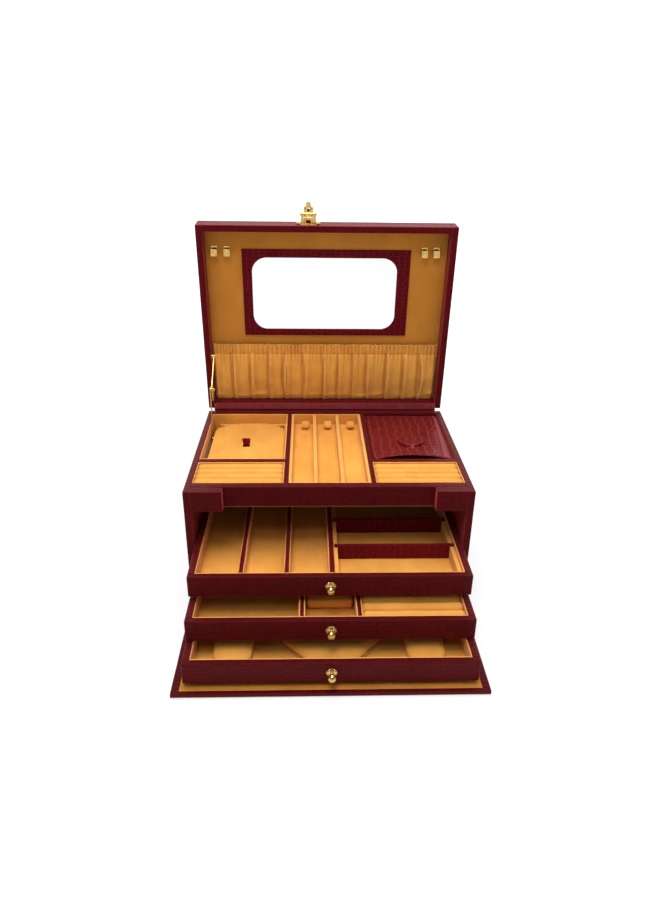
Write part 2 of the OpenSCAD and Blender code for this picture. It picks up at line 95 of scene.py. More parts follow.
def fill(nt, target, **values):
    """Sets a node's own settings and its sockets by name, with _ for a space."""
    for key, value in values.items():
        if hasattr(target, key):
            setattr(target, key, value)
        else:
            put(nt, value, target.inputs[key.replace("_", " ")])
    return target


def node(nt, kind, **values):
    return fill(nt, nt.nodes.new("ShaderNode" + kind), **values)


def new_material(name):
    mat = bpy.data.materials.new(name)
    mat.use_nodes = True
    return mat, mat.node_tree, mat.node_tree.nodes["Principled BSDF"]


def ramp(nt, source, stops):
    r = node(nt, "ValToRGB", Fac=source)
    while len(r.color_ramp.elements) < len(stops):
        r.color_ramp.elements.new(0.5)
    for element, (at, colour) in zip(r.color_ramp.elements, stops):
        element.position = at
        element.color = (*colour, 1)
    return r.outputs["Color"]


def mix(nt, factor, a, b, mode="MIX"):
    m = node(nt, "Mix", data_type="RGBA", blend_type=mode)
    for value, socket in ((factor, m.inputs[0]), (a, m.inputs[6]), (b, m.inputs[7])):
        put(nt, value, socket)
    return m.outputs[2]


def math_node(nt, operation, a, b=0.0):
    m = node(nt, "Math", operation=operation)
    put(nt, a, m.inputs[0])
    put(nt, b, m.inputs[1])
    return m.outputs[0]


def map_range(nt, value, **limits):
    return node(nt, "MapRange", Value=value, **limits).outputs["Result"]


def bump(nt, height, strength, distance, after=None):
    b = node(nt, "Bump", Strength=strength, Distance=distance, Height=height)
    if after is not None:
        put(nt, after, b.inputs["Normal"])
    return b.outputs["Normal"]


def cloudy(nt, where, **values):
    return node(nt, "TexNoise", Vector=where, **values).outputs["Fac"]


def voronoi(nt, where, feature, scale, randomness):
    return node(nt, "TexVoronoi", voronoi_dimensions="2D", feature=feature,
                Vector=where, Scale=scale, Randomness=randomness)


def object_place(nt):
    return node(nt, "TexCoord").outputs["Object"]


def scaled_uv(nt, sx, sy, wander=0.0, wander_scale=60.0):
    """The UV map stretched by sx and sy, and pushed about by noise so that rows aren't ruler straight."""
    out = node(nt, "UVMap", uv_map="UVMap").outputs["UV"]
    if wander:
        push = node(nt, "TexNoise", Vector=out, Scale=wander_scale, Detail=2.0).outputs["Color"]
        off = node(nt, "VectorMath", operation="MULTIPLY_ADD")
        for value, socket in zip((push, (wander, wander, 0), out), off.inputs):
            put(nt, value, socket)
        out = off.outputs[0]
    return node(nt, "Mapping", Vector=out, Scale=(sx, sy, 1)).outputs["Vector"]


def wear_and_highlight_mask(nt, low=0.35, high=0.95):
    """Wear and painted highlight: the mesh's edge values, broken up by noise."""
    edge = node(nt, "Attribute", attribute_name="edge").outputs["Fac"]
    patches = cloudy(nt, scaled_uv(nt, 1, 1), Scale=260.0, Detail=3.0)
    return map_range(nt, math_node(nt, "MULTIPLY", edge, patches), From_Min=low * 0.5, From_Max=high * 0.62)


def leather(name, base, light, groove, tile, rough, groove_mix, depth, specular=0.11, smooth=False, sheen=0.46):
    """Embossed leather: belly scales with grooves between, fine pebble grain, edges lighter as wear and painted
    highlight.
    """
    mat, nt, shader = new_material(name)
    plain = scaled_uv(nt, 1, 1)
    rows = scaled_uv(nt, 1 / tile[0], 1 / tile[1], wander=0.005)
    to_edge = voronoi(nt, rows, "DISTANCE_TO_EDGE", 1.0, DISORDER).outputs["Distance"]
    tint = voronoi(nt, rows, "F1", 1.0, DISORDER).outputs["Color"]
    pebbles = voronoi(nt, plain, "F1", 1150.0, 1.0).outputs["Distance"]
    cloud = cloudy(nt, plain, Scale=38.0, Detail=4.0, Roughness=0.6)
    colour = mix(nt, ramp(nt, cloud, grey((0.3, 0), (0.72, 1))), base, light)
    colour = mix(nt, 1.0, colour, ramp(nt, tint, grey((0.0, 0.90), (1.0, 1.10))), "MULTIPLY")
    line = ramp(nt, to_edge, grey((0.0, 1), (0.035, 0.75), (0.11, 0)))
    colour = mix(nt, math_node(nt, "MULTIPLY", line, groove_mix), colour, groove)
    # lighter red at the edges: wear and painted highlight
    worn_and_lit = tuple(min(1.0, c * 2.6 + 0.01) for c in light)
    colour = mix(nt, math_node(nt, "MULTIPLY", wear_and_highlight_mask(nt), EDGE_WEAR_AND_HIGHLIGHT), colour, worn_and_lit)
    raised = ramp(nt, to_edge, grey((0.0, 0), (0.16, 0.8), (0.5, 1)))
    normal = bump(nt, raised, 0.25 if smooth else 0.6, depth * MM)
    fill(nt, shader, Base_Color=colour, Normal=bump(nt, pebbles, 0.35, 0.10 * MM, normal),
         Roughness=map_range(nt, cloud, To_Min=rough - 0.06, To_Max=rough + 0.12),
         Specular_IOR_Level=specular, Specular_Tint=(1.0, 0.24, 0.26),
         Sheen_Weight=sheen, Sheen_Roughness=0.5, Sheen_Tint=(1.0, 0.14, 0.12))
    return mat


def suede(name, dark, light, edge, nap=900.0):
    """Suede or brushed cloth: blotches, short nap, edges lighter as wear and painted highlight, and painted
    shade that darkens it by a value on each vertex.
    """
    mat, nt, shader = new_material(name)
    blotch = cloudy(nt, scaled_uv(nt, 1, 0.6, wander=0.01, wander_scale=25.0),
                    Scale=26.0, Detail=5.0, Roughness=0.62)
    fibre = cloudy(nt, scaled_uv(nt, 1, 0.7), Scale=nap, Detail=3.0, Roughness=0.7)
    colour = mix(nt, ramp(nt, blotch, grey((0.32, 0), (0.7, 1))), dark, light)
    colour = mix(nt, 1.0, colour, ramp(nt, fibre, grey((0.3, 0.9), (0.7, 1.08))), "MULTIPLY")
    colour = mix(nt, math_node(nt, "MULTIPLY", wear_and_highlight_mask(nt, 0.2, 0.9), 0.5), colour, edge)
    # painted shade: the colour goes darker where the mesh's shade value is high
    deep = node(nt, "Attribute", attribute_name="deep").outputs["Fac"]
    colour = mix(nt, math_node(nt, "MULTIPLY", deep, 0.5), colour, (0.22, 0.075, 0.010))
    normal = bump(nt, blotch, 0.25, 0.5 * MM)
    fill(nt, shader, Base_Color=colour, Normal=bump(nt, fibre, 0.45, 0.12 * MM, normal), Roughness=0.93,
         Specular_IOR_Level=0.06, Sheen_Weight=SUEDE_SHEEN, Sheen_Roughness=0.45,
         Sheen_Tint=(1.0, 0.90, 0.74))
    return mat


def metal(name, dark, light, rough):
    mat, nt, shader = new_material(name)
    tarnish = cloudy(nt, object_place(nt), Scale=420.0, Detail=4.0, Roughness=0.65)
    scratch = cloudy(nt, object_place(nt), Scale=2600.0, Detail=2.0)
    fill(nt, shader, Metallic=1.0, Normal=bump(nt, scratch, 0.12, 0.05 * MM),
         Base_Color=mix(nt, ramp(nt, tarnish, grey((0.35, 0), (0.65, 1))), dark, light),
         Roughness=map_range(nt, tarnish, To_Min=rough, To_Max=rough + 0.18))
    return mat


def wood(name):
    mat, nt, shader = new_material(name)
    along = node(nt, "Mapping", Vector=object_place(nt), Scale=(60, 6, 60)).outputs["Vector"]
    rings = cloudy(nt, along, Scale=5.0, Detail=6.0, Distortion=0.6)
    fill(nt, shader, Base_Color=ramp(nt, rings, [(0.3, (0.16, 0.09, 0.045)), (0.7, (0.33, 0.20, 0.10))]),
         Normal=bump(nt, rings, 0.3, 0.2 * MM), Roughness=0.7)
    return mat


def silvered(name):
    mat, nt, shader = new_material(name)
    film = cloudy(nt, object_place(nt), Scale=30.0, Detail=3.0)
    fill(nt, shader, Base_Color=ramp(nt, film, [(0.3, (0.93, 0.94, 0.94)), (0.7, (0.97, 0.97, 0.97))]),
         Roughness=map_range(nt, film, To_Min=0.0, To_Max=0.03), Metallic=1.0)
    return mat


# leather: dark and light colour, groove colour, scale size in metres, roughness, groove strength and depth
BURGUNDY = leather("burgundy_croc", (0.043, 0.0009, 0.0022), (0.066, 0.0015, 0.0040), (0.020, 0.0006, 0.001),
                   (0.0092, 0.0060), 0.36, 0.5, 0.30)
WINE = leather("wine_croc", (0.092, 0.0022, 0.003), (0.130, 0.0036, 0.005), (0.24, 0.036, 0.036),
               (0.0105, 0.0060), 0.36, 0.85, 0.32, specular=0.22, sheen=0.12)
# lighter smooth wine leather: the wallet's keeper strap, and a painted reflection on its right border
PLAIN_AND_REFLECTION = leather("wine_plain_and_reflection", (0.15, 0.012, 0.022), (0.19, 0.018, 0.032), (0.08, 0.004, 0.008),
                (0.02, 0.012), 0.40, 0.12, 0.1, smooth=True, specular=0.3)
SMOOTH = leather("hinge_leather", (0.185, 0.027, 0.036), (0.25, 0.040, 0.052), (0.10, 0.008, 0.016),
                 (0.013, 0.011), 0.42, 0.30, 0.12, smooth=True, specular=0.3)
RED = leather("red_croc", (0.068, 0.0018, 0.0040), (0.100, 0.0030, 0.0070), (0.19, 0.016, 0.026),
              (0.0080, 0.0052), 0.38, 0.6, 0.34, sheen=0.2)
# a lighter copy of the burgundy leather for the lid walls: painted light on the rims
LIT_BURGUNDY = leather("lit_burgundy_croc", (0.060, 0.0014, 0.0032), (0.088, 0.0024, 0.0058), (0.12, 0.009, 0.015),
              (0.0092, 0.0060), 0.36, 0.4, 0.30, sheen=0.30)
# a much lighter copy of the burgundy for the pull tab: painted light where it faces the lamps
LIT_TAB = leather("lit_tab_leather", (0.20, 0.008, 0.016), (0.27, 0.014, 0.026), (0.10, 0.004, 0.008),
              (0.006, 0.006), 0.42, 0.2, 0.1, smooth=True, specular=0.2, sheen=0.2)
# near-black leather: painted shadow at the pull tab's foot and under the wallet's raised front edge
SHADOW_LEATHER = leather("painted_shadow_leather", (0.016, 0.0015, 0.0018), (0.024, 0.0022, 0.0026), (0.004, 0.0005, 0.0005),
               (0.01, 0.01), 0.7, 0.1, 0.1, specular=0.05, sheen=0.0)
HONEY = suede("honey_suede", (0.69, 0.305, 0.054), (0.84, 0.39, 0.078), (0.98, 0.56, 0.17))
# a darker copy of the honey suede: painted shade for the lid's lining and the flap's inlay
SHADED_HONEY = suede("shaded_lid_suede", (0.49, 0.190, 0.026), (0.60, 0.242, 0.038), (0.80, 0.36, 0.07))
CLOTH = suede("honey_cloth", (0.70, 0.315, 0.058), (0.84, 0.40, 0.082), (0.98, 0.54, 0.15), nap=1400.0)
PIPING = suede("piping", (0.22, 0.10, 0.03), (0.30, 0.14, 0.04), (0.4, 0.2, 0.08))
BRASS = metal("brass", (0.50, 0.30, 0.075), (0.82, 0.56, 0.20), 0.14)
WOOD = wood("runner_wood")
MIRROR = silvered("mirror")


# ---------------------------------------------------------------- mesh building
class Piece:
    """Vertices in millimetres, a UV in metres for each face corner, an edge value for each vertex."""

    def __init__(self):
        self.v, self.f, self.uv, self.edge, self.m = [], [], [], [], []

    def add(self, verts, faces, uvs, edge, mat=0):
        base = len(self.v)
        self.v += [tuple(p) for p in verts]
        self.edge += list(edge)
        self.f += [tuple(i + base for i in f) for f in faces]
        self.uv += uvs
        self.m += [mat] * len(faces)


def noise_at(x, y, z):
    return noise.noise(Vector((x, y, z)))


def cuts(lo, hi, r, step):
    n = max(1, round((hi - lo - 2 * r) / step))
    middle = [lo + r + (hi - lo - 2 * r) * k / n for k in range(1, n)]
    return [lo + r - r * t for t in ROUNDING] + middle + [hi - r + r * t for t in reversed(ROUNDING)]


def rbox(piece, lo, hi, r=1.0, step=9.0, wob=0.10, mat=0, seed=0.0):
    """A padded board: rounded edges and corners, faces that wander by wob."""
    r = min(r, 0.48 * min(h - l for l, h in zip(lo, hi)))
    axes = [cuts(l, h, r, step) for l, h in zip(lo, hi)]
    counts = [len(a) for a in axes]
    index, verts, edge = {}, [], []
    off = (seed * 7.3 % 1.0, seed * 3.1 % 1.0)

    def vertex(key):
        if key not in index:
            p = Vector([axes[a][key[a]] for a in range(3)])
            q = Vector([min(max(p[a], lo[a] + r), hi[a] - r) for a in range(3)])
            n = (p - q).normalized()
            out = q + n * r
            if wob:
                out += n * (wob * noise.noise(out * 0.035 + Vector((seed, seed * 2, 0))))
            index[key] = len(verts)
            verts.append(out)
            edge.append(1.0 if sorted(abs(c) for c in n)[1] > 0.2 else 0.0)
        return index[key]

    faces, uvs = [], []
    for a, end in itertools.product(range(3), (0, 1)):
        b, c = (a + 1) % 3, (a + 2) % 3
        u, w = [(1, 2), (0, 2), (0, 1)][a]
        for i, j in itertools.product(range(counts[b] - 1), range(counts[c] - 1)):
            quad = []
            for di, dj in ((0, 0), (1, 0), (1, 1), (0, 1)):
                key = [0, 0, 0]
                key[a] = counts[a] - 1 if end else 0
                key[b], key[c] = i + di, j + dj
                quad.append(tuple(key))
            if not end:
                quad.reverse()
            faces.append([vertex(k) for k in quad])
            uvs.append([(axes[u][k[u]] * MM + off[0], axes[w][k[w]] * MM + off[1]) for k in quad])
    piece.add(verts, faces, uvs, edge, mat)


def planar_uv(points, seed=0.0):
    """UV of one face from the two axes it mostly lies in."""
    a, b, c = points[0], points[1], points[2]
    n = (b - a).cross(c - a)
    big = max(range(3), key=lambda k: abs(n[k]))
    u, w = [(1, 2), (0, 2), (0, 1)][big]
    return [(p[u] * MM + seed * 0.37 % 1.0, p[w] * MM + seed * 0.71 % 1.0) for p in points]


def flat_uv(verts, face):
    """UV of one face seen from above."""
    return [(verts[i][0] * MM, verts[i][1] * MM) for i in face]


def direction(path, k):
    """Unit direction of a path in Y and Z at its point k."""
    (y1, z1), (y2, z2) = path[max(k - 1, 0)], path[min(k + 1, len(path) - 1)]
    d = math.hypot(y2 - y1, z2 - z1)
    return (y2 - y1) / d, (z2 - z1) / d


def solids(name, matrix):
    """Each solid of a CAD node as a bmesh, in millimetres, in the given local frame."""
    inverse = matrix.inverted()
    bm = bmesh.new()
    bm.from_mesh(NODES[name].data)
    bmesh.ops.remove_doubles(bm, verts=bm.verts, dist=1e-6)
    for v in bm.verts:
        v.co = (inverse @ v.co) * (1 / MM)
    seen, out = set(), []
    for start in bm.verts:
        if start in seen:
            continue
        group, todo = {start: None}, [start]
        while todo:
            for v in [v for e in todo.pop().link_edges for v in e.verts]:
                if v not in group:
                    group[v] = None
                    todo.append(v)
        seen.update(group)
        part = bmesh.new()
        where = {v: part.verts.new(v.co) for v in group}
        for f in dict.fromkeys(f for v in group for f in v.link_faces):
            part.faces.new([where[v] for v in f.verts])
        part.normal_update()
        out.append(part)
    bm.free()
    out.sort(key=lambda p: tuple(round(min(v.co[k] for v in p.verts), 2) for k in range(3)))
    return out


def extent(bm):
    return [[pick(v.co[k] for v in bm.verts) for k in range(3)] for pick in (min, max)]


def soften(piece, bm, r, seed=0.0, segments=3):
    """Adds a solid with its sharp edges rounded."""
    bmesh.ops.dissolve_limit(bm, angle_limit=math.radians(1), verts=bm.verts, edges=bm.edges)
    bm.normal_update()
    sharp = [e for e in bm.edges if len(e.link_faces) == 2 and e.calc_face_angle(0) > math.radians(32)]
    made = bmesh.ops.bevel(bm, geom=sharp, offset=r, segments=segments, affect="EDGES",
                           clamp_overlap=True, profile=0.5)
    rim = {v for f in made["faces"] for v in f.verts}
    bm.normal_update()
    bm.verts.index_update()
    faces = [[v.index for v in f.verts] for f in bm.faces]
    uvs = [planar_uv([v.co for v in f.verts], seed) for f in bm.faces]
    piece.add([v.co for v in bm.verts], faces, uvs, [1.0 if v in rim else 0.0 for v in bm.verts])
    bm.free()


def lathe(piece, profile, segments, place, flutes=0, depth=0.0, fluted_rings=0):
    """Turned shape about Z from (radius, height) points; its first rings may be fluted."""
    verts, faces, uvs = [], [], []
    for k, (radius, height) in enumerate(profile):
        for s in range(segments):
            a = 2 * math.pi * s / segments
            r = radius * (1 + depth * math.cos(flutes * a)) if k < fluted_rings else radius
            verts.append(place @ Vector((r * math.cos(a), r * math.sin(a), height)))
    for k in range(len(profile) - 1):
        for s in range(segments):
            t = (s + 1) % segments
            corners = ((k, s), (k, t), (k + 1, t), (k + 1, s))
            faces.append([i * segments + j for i, j in corners])
            uvs.append([((s + i) * MM, (k + j) * MM) for i, j in ((0, 0), (1, 0), (1, 1), (0, 1))])
    top = (len(profile) - 1) * segments
    faces += [list(range(segments))[::-1], [top + s for s in range(segments)]]
    uvs += [[(0, 0)] * segments] * 2
    piece.add(verts, faces, uvs, [0.0] * len(verts))


def sheet(piece, rows, cols, at, mat=0, uv=None):
    """A closed sheet; at(i, j) gives a point of its top and the point under it. Returns the top's points."""
    pairs = [[at(i, j) for j in range(cols)] for i in range(rows)]
    top = [[Vector(p[0]) for p in row] for row in pairs]
    verts = [p for row in top for p in row] + [Vector(p[1]) for row in pairs for p in row]
    half = rows * cols
    faces, uvs = [], []

    def place(i, j):
        return uv(i, j) if uv else (top[i][j][0] * MM, top[i][j][1] * MM)

    for i in range(rows - 1):
        for j in range(cols - 1):
            quad = [(i, j), (i, j + 1), (i + 1, j + 1), (i + 1, j)]
            for base in (0, half):
                faces.append([base + a * cols + b for a, b in quad])
                uvs.append([place(a, b) for a, b in quad])
                quad.reverse()
    rim = [(0, j) for j in range(cols)] + [(i, cols - 1) for i in range(1, rows)]
    rim += [(rows - 1, j) for j in range(cols - 2, -1, -1)] + [(i, 0) for i in range(rows - 2, 0, -1)]
    for k, (i, j) in enumerate(rim):
        a, b = rim[(k + 1) % len(rim)]
        faces.append([a * cols + b, i * cols + j, half + i * cols + j, half + a * cols + b])
        uvs.append([place(a, b), place(i, j), place(i, j), place(a, b)])
    edge = [1.0 if 0 in (i, j, rows - 1 - i, cols - 1 - j) else 0.0 for i in range(rows) for j in range(cols)]
    piece.add(verts, faces, uvs, edge * 2, mat)
    return top


def set_values(ob, name, values):
    """Stores one number for each vertex, for the materials to read."""
    layers = ob.data.attributes
    layer = layers[name] if name in layers else layers.new(name, "FLOAT", "POINT")
    layer.data.foreach_set("value", values)


def build(name, piece, materials, body, nodes=(), slot=None, matrix=CASE, weighted=True):
    """Makes the object, attaches it to the body it rides on, and hides the CAD nodes it stands for."""
    mesh = bpy.data.meshes.new(name)
    mesh.from_pydata([tuple(matrix @ (Vector(p) * MM)) for p in piece.v], [], piece.f)
    layer = mesh.uv_layers.new(name="UVMap")
    layer.data.foreach_set("uv", [c for face in piece.uv for pair in face for c in pair])
    mesh.polygons.foreach_set("material_index", piece.m)
    mesh.polygons.foreach_set("use_smooth", [True] * len(piece.f))
    for m in materials:
        mesh.materials.append(m)
    ob = bpy.data.objects.new(name, mesh)
    set_values(ob, "edge", piece.edge)
    mesh.validate()
    bpy.context.scene.collection.objects.link(ob)
    if weighted:
        ob.modifiers.new("normals", "WEIGHTED_NORMAL").weight = 80
    if body:
        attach(ob, body)
    if nodes:
        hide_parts(*nodes)
    return ob


SEEDS = itertools.count(1)


def next_seed():
    return next(SEEDS) * 1.618


def dress(node_name, body, material, slot, r=1.2, matrix=CASE, wob=0.12, segments=3):
    """Covers a CAD node: solids that are boxes become padded boards, others get rounded edges."""
    piece = Piece()
    for bm in solids(node_name, matrix):
        lo, hi = extent(bm)
        size = [h - l for l, h in zip(lo, hi)]
        if bm.calc_volume() > 0.97 * size[0] * size[1] * size[2]:
            rbox(piece, lo, hi, r, wob=wob, seed=next_seed())
            bm.free()
        else:
            soften(piece, bm, r, seed=next_seed(), segments=segments)
    return build("skin_" + node_name, piece, [material], body, [node_name], slot, matrix)


# ---------------------------------------------------------------- leather boards, linings, plain fittings
for name, r in (("base_board", 0.9), ("side_wall_left", 0.9), ("side_wall_right", 0.9), ("back_wall", 0.9),
                ("front_rail", 0.8), ("corner_block_left", 0.8), ("corner_block_right", 0.8),
                ("tray_bar_left", 0.8), ("tray_bar_right", 0.8), ("tray_cross_bars", 0.8)):
    dress(name, "case", BURGUNDY, "leather", r)
dress("lid_panel", "lid", BURGUNDY, "leather", 1.2, LID)
for name, r in (("left", 0.9), ("right", 0.9), ("front", 0.9), ("back", 0.8)):
    dress("lid_wall_" + name, "lid", LIT_BURGUNDY, "leather", r, LID)
for k in (1, 2, 3):
    dress("drawer_%d_box" % k, "drawer_%d" % k, BURGUNDY, "leather", 0.75, wob=0.14)
dress("drawer_1_cross_rear", "cross_rear", RED, "leather", 0.7)
dress("drawer_1_cross_front", "cross_front", RED, "leather", 0.7)
dress("drawer_runners", "case", WOOD, "board", 0.5, wob=0.0)
dress("tray_floor", "case", WOOD, "board", 0.3, wob=0.0)
dress("tray_ledges", "case", HONEY, "suede", 0.8)
dress("channel_dividers", "case", HONEY, "suede", 1.6)
dress("mirror_glass", "lid", MIRROR, "mirror", 0.12, LID, segments=1)
lining = dress("lid_lining", "lid", SHADED_HONEY, "suede", 0.4, LID, wob=0.25)
for name, body, r, matrix in (("necklace_hooks", "lid", 0.28, LID), ("latch_pin", "lid", 0.3, LID),
                              ("stay_lower_arm", "stay_lower", 0.3, CASE),
                              ("stay_upper_arm", "stay_upper", 0.25, CASE),
                              ("stay_case_pivot", "case", 0.25, CASE), ("stay_lid_pivot", "lid", 0.25, LID)):
    dress(name, body, BRASS, "brass", r, matrix)

# painted shade: the lid's lining is darker near the front wall and the side walls, where their shade falls
LINING_END, LINING_SIDE = 246.0, 152.0
shade = []
for v in lining.data.vertices:
    p = LID.inverted() @ v.co
    to_end, to_side = LINING_END + LID_GAP + p.y / MM, LINING_SIDE - abs(p.x) / MM
    near_end, near_side = math.exp(-max(0.0, to_end) / 22.0), math.exp(-max(0.0, to_side) / 9.0)
    shade.append(min(1.0, 0.75 * near_end + 0.4 * near_side))
set_values(lining, "deep", shade)

# the front flap: leather board with a suede panel let into its top
for name, lo, hi, r, wob, material, slot in (
        ("board", (-163.0, -249.4, 0.4), (163.0, -115.6, 5.2), 0.9, 0.12, BURGUNDY, "leather"),
        ("inlay", (-154.6, -244.9, 4.6), (154.6, -119.2, 5.35), 0.3, 0.06, SHADED_HONEY, "suede")):
    piece = Piece()
    rbox(piece, lo, hi, r, wob=wob, seed=next_seed())
    build("skin_flap_" + name, piece, [material], "flap", ["flap_" + name], slot)

# mirror frame: croc leather board with a round-cornered opening; its y is counted from the lid's back wall
OUT_X0, OUT_X1, OUT_Y0, OUT_Y1 = -107.0, 106.0, 99.6, 212.2
IN_X0, IN_X1, IN_Y0, IN_Y1, IN_R = -94.9, 90.0, 108.0, 202.1, 19.0
piece = Piece()
outer, inner = [], []
for start, cx, cy, px, py in ((0, IN_X1 - IN_R, IN_Y1 - IN_R, OUT_X1, OUT_Y1),
                              (90, IN_X0 + IN_R, IN_Y1 - IN_R, OUT_X0, OUT_Y1),
                              (180, IN_X0 + IN_R, IN_Y0 + IN_R, OUT_X0, OUT_Y0),
                              (270, IN_X1 - IN_R, IN_Y0 + IN_R, OUT_X1, OUT_Y0)):
    for k in range(11):
        a = math.radians(start + 9 * k)
        inner.append((cx + IN_R * math.cos(a), cy + IN_R * math.sin(a)))
        upright = start in (0, 180)
        if k <= 5:
            outer.append((px, cy + (py - cy) * k / 5) if upright else (cx + (px - cx) * k / 5, py))
        else:
            back = (k - 5) / 5
            outer.append((px + (cx - px) * back, py) if upright else (px, py + (cy - py) * back))
more_in, more_out = [], []
for k in range(len(inner)):
    (ax, ay), (bx, by) = inner[k], inner[(k + 1) % len(inner)]
    (qx, qy), (rx, ry) = outer[k], outer[(k + 1) % len(outer)]
    n = max(1, int(math.hypot(bx - ax, by - ay) / 9))
    for t in range(n):
        more_in.append((ax + (bx - ax) * t / n, ay + (by - ay) * t / n))
        more_out.append((qx + (rx - qx) * t / n, qy + (ry - qy) * t / n))
# share of the way from the outside to the opening, and distance from the rim plane
section = [(0.0, 19.7), (0.0, 17.9), (0.02, 17.5), (0.07, 17.3), (0.35, 17.22),
           (0.65, 17.22), (0.93, 17.3), (0.98, 17.5), (1.0, 17.9), (1.0, 19.7)]
n, verts, edge = len(more_in), [], []
for t, w in section:
    for (ax, ay), (bx, by) in zip(more_out, more_in):
        verts.append(Vector((ax + (bx - ax) * t, -LID_GAP - (ay + (by - ay) * t),
                             w + 0.1 * noise_at(ax * 0.04, ay * 0.04, 8.0))))
        edge.append(1.0 if t in (0.02, 0.98) else 0.0)
faces = []
for i in range(len(section)):
    after = (i + 1) % len(section)
    for k in range(n):
        faces.append([i * n + k, i * n + (k + 1) % n, after * n + (k + 1) % n, after * n + k])
piece.add(verts, faces, [flat_uv(verts, f) for f in faces], edge)
build("mirror_surround", piece, [RED], "lid", ["mirror_frame"], "leather", LID)

# chain loops: folded straps that bulge from the back of each channel
LOOP = [(96.5, 148.2), (96.0, 151.2), (94.6, 153.6), (92.2, 155.0), (89.4, 155.0),
        (86.8, 153.8), (84.9, 151.7), (84.2, 149.3), (85.6, 147.9), (88.5, 147.5)]
LOOP_TOP = 152                                   # above it the strap's outer side looks up


def loop_point(cx, k, j):
    y, z = LOOP[k]
    dy, dz = direction(LOOP, k)
    q = j / 8 * 2 - 1
    x = cx + q * (3.1 + 1.9 * math.sin(math.pi * k / (len(LOOP) - 1)))
    puff = 0.9 * (1 - q * q)
    up = abs(dy) * (1 if z > LOOP_TOP else -0.2)
    return ((x, y + dz * 0.2 - (0.7 + puff) * abs(dz), z + (0.4 + puff * 0.6) * up),
            (x, y + 1.2 * abs(dz), z - 0.9 * up))


piece = Piece()
for cx in (-27.6, 2.6, 33.5):
    sheet(piece, len(LOOP), 9, lambda k, j: loop_point(cx, k, j))
build("strap_loops", piece, [CLOTH], "case", ["chain_loops"], "suede", weighted=False)

# card strip under the front rail, in the dark piping cloth as painted shade
piece = Piece()
rbox(piece, (-117, FRONT + 12.3, 136.1), (117, FRONT + 21.8, 136.65), 0.2, wob=0.0)
build("rail_underside", piece, [PIPING], "case", slot="suede")


# ---------------------------------------------------------------- linings made of covered cards
CARD = 1.2                                       # thickness of the floor card and of the end cards


def card_lining(piece, lo, hi, side):
    """Floor card and four wall cards with rolled top edges; side is the thickness of the side cards."""
    rbox(piece, (lo[0] + 0.2, lo[1] + 0.2, lo[2]), (hi[0] - 0.2, hi[1] - 0.2, lo[2] + CARD), 0.4,
         wob=0.25, seed=next_seed())
    z, left, roll = lo[2] + 0.1, side if side > 2 else 0.75, min(1.5, side * 0.48)
    y0, y1 = lo[1] + CARD * 0.6, hi[1] - CARD * 0.6
    for low, high, r, wob in (((lo[0], lo[1], z), (hi[0], lo[1] + CARD, hi[2]), 0.55, 0.12),
                              ((lo[0], hi[1] - CARD, z), (hi[0], hi[1], hi[2]), 0.55, 0.12),
                              ((lo[0], y0, z), (lo[0] + left, y1, hi[2]), min(roll, left * 0.48),
                               0.05 if left < 1 else 0.12),
                              ((hi[0] - side, y0, z), (hi[0], y1, hi[2]), roll, 0.12)):
        rbox(piece, low, high, r, wob=wob, seed=next_seed())


for name, body, side in (("tray_lining_left", "case", 1.2), ("tray_lining_middle", "case", 3.4),
                         ("tray_lining_right", "case", 1.2), ("drawer_1_lining", "drawer_1", 1.2),
                         ("drawer_2_lining", "drawer_2", 1.2), ("drawer_3_lining", "drawer_3", 1.2)):
    piece = Piece()
    for bm in solids(name, CASE):
        lo, hi = extent(bm)
        if name == "tray_lining_right" and lo[1] > -60:          # the wallet's bay is lower
            hi[2] -= 8.0
        card_lining(piece, lo, hi, side)
        bm.free()
    build("cards_" + name, piece, [HONEY], body, [name], "suede")

# drawer dividers: red core, honey cards on its sides
piece = Piece()
for bm in solids("drawer_1_dividers", CASE):
    lo, hi = extent(bm)
    if lo[0] > 4.8:
        rbox(piece, lo, hi, 0.8, mat=1, seed=next_seed())
    else:
        rbox(piece, lo, hi, 1.0, wob=0.3, seed=next_seed())
        for x0, x1 in ((lo[0] - 1.0, lo[0] + 0.2), (hi[0] - 0.2, hi[0] + 1.0)):
            rbox(piece, (x0, lo[1], lo[2]), (x1, hi[1], hi[2] - 2.2), 0.4, wob=0.1, seed=next_seed(), mat=1)
    bm.free()
build("dividers_1", piece, [RED, HONEY], "drawer_1", ["drawer_1_dividers"], "leather")

piece = Piece()
for bm in solids("drawer_2_dividers", CASE):
    lo, hi = extent(bm)
    rbox(piece, (lo[0] + 1.2, lo[1], lo[2]), (hi[0] - 1.2, hi[1], hi[2]), 1.0, seed=next_seed())
    for x0, x1 in ((lo[0], lo[0] + 1.4), (hi[0] - 1.4, hi[0])):
        rbox(piece, (x0, lo[1], lo[2]), (x1, hi[1], hi[2] - 0.2), 0.6, mat=1, seed=next_seed())
    bm.free()
build("dividers_2", piece, [RED, HONEY], "drawer_2", ["drawer_2_dividers"], "leather")


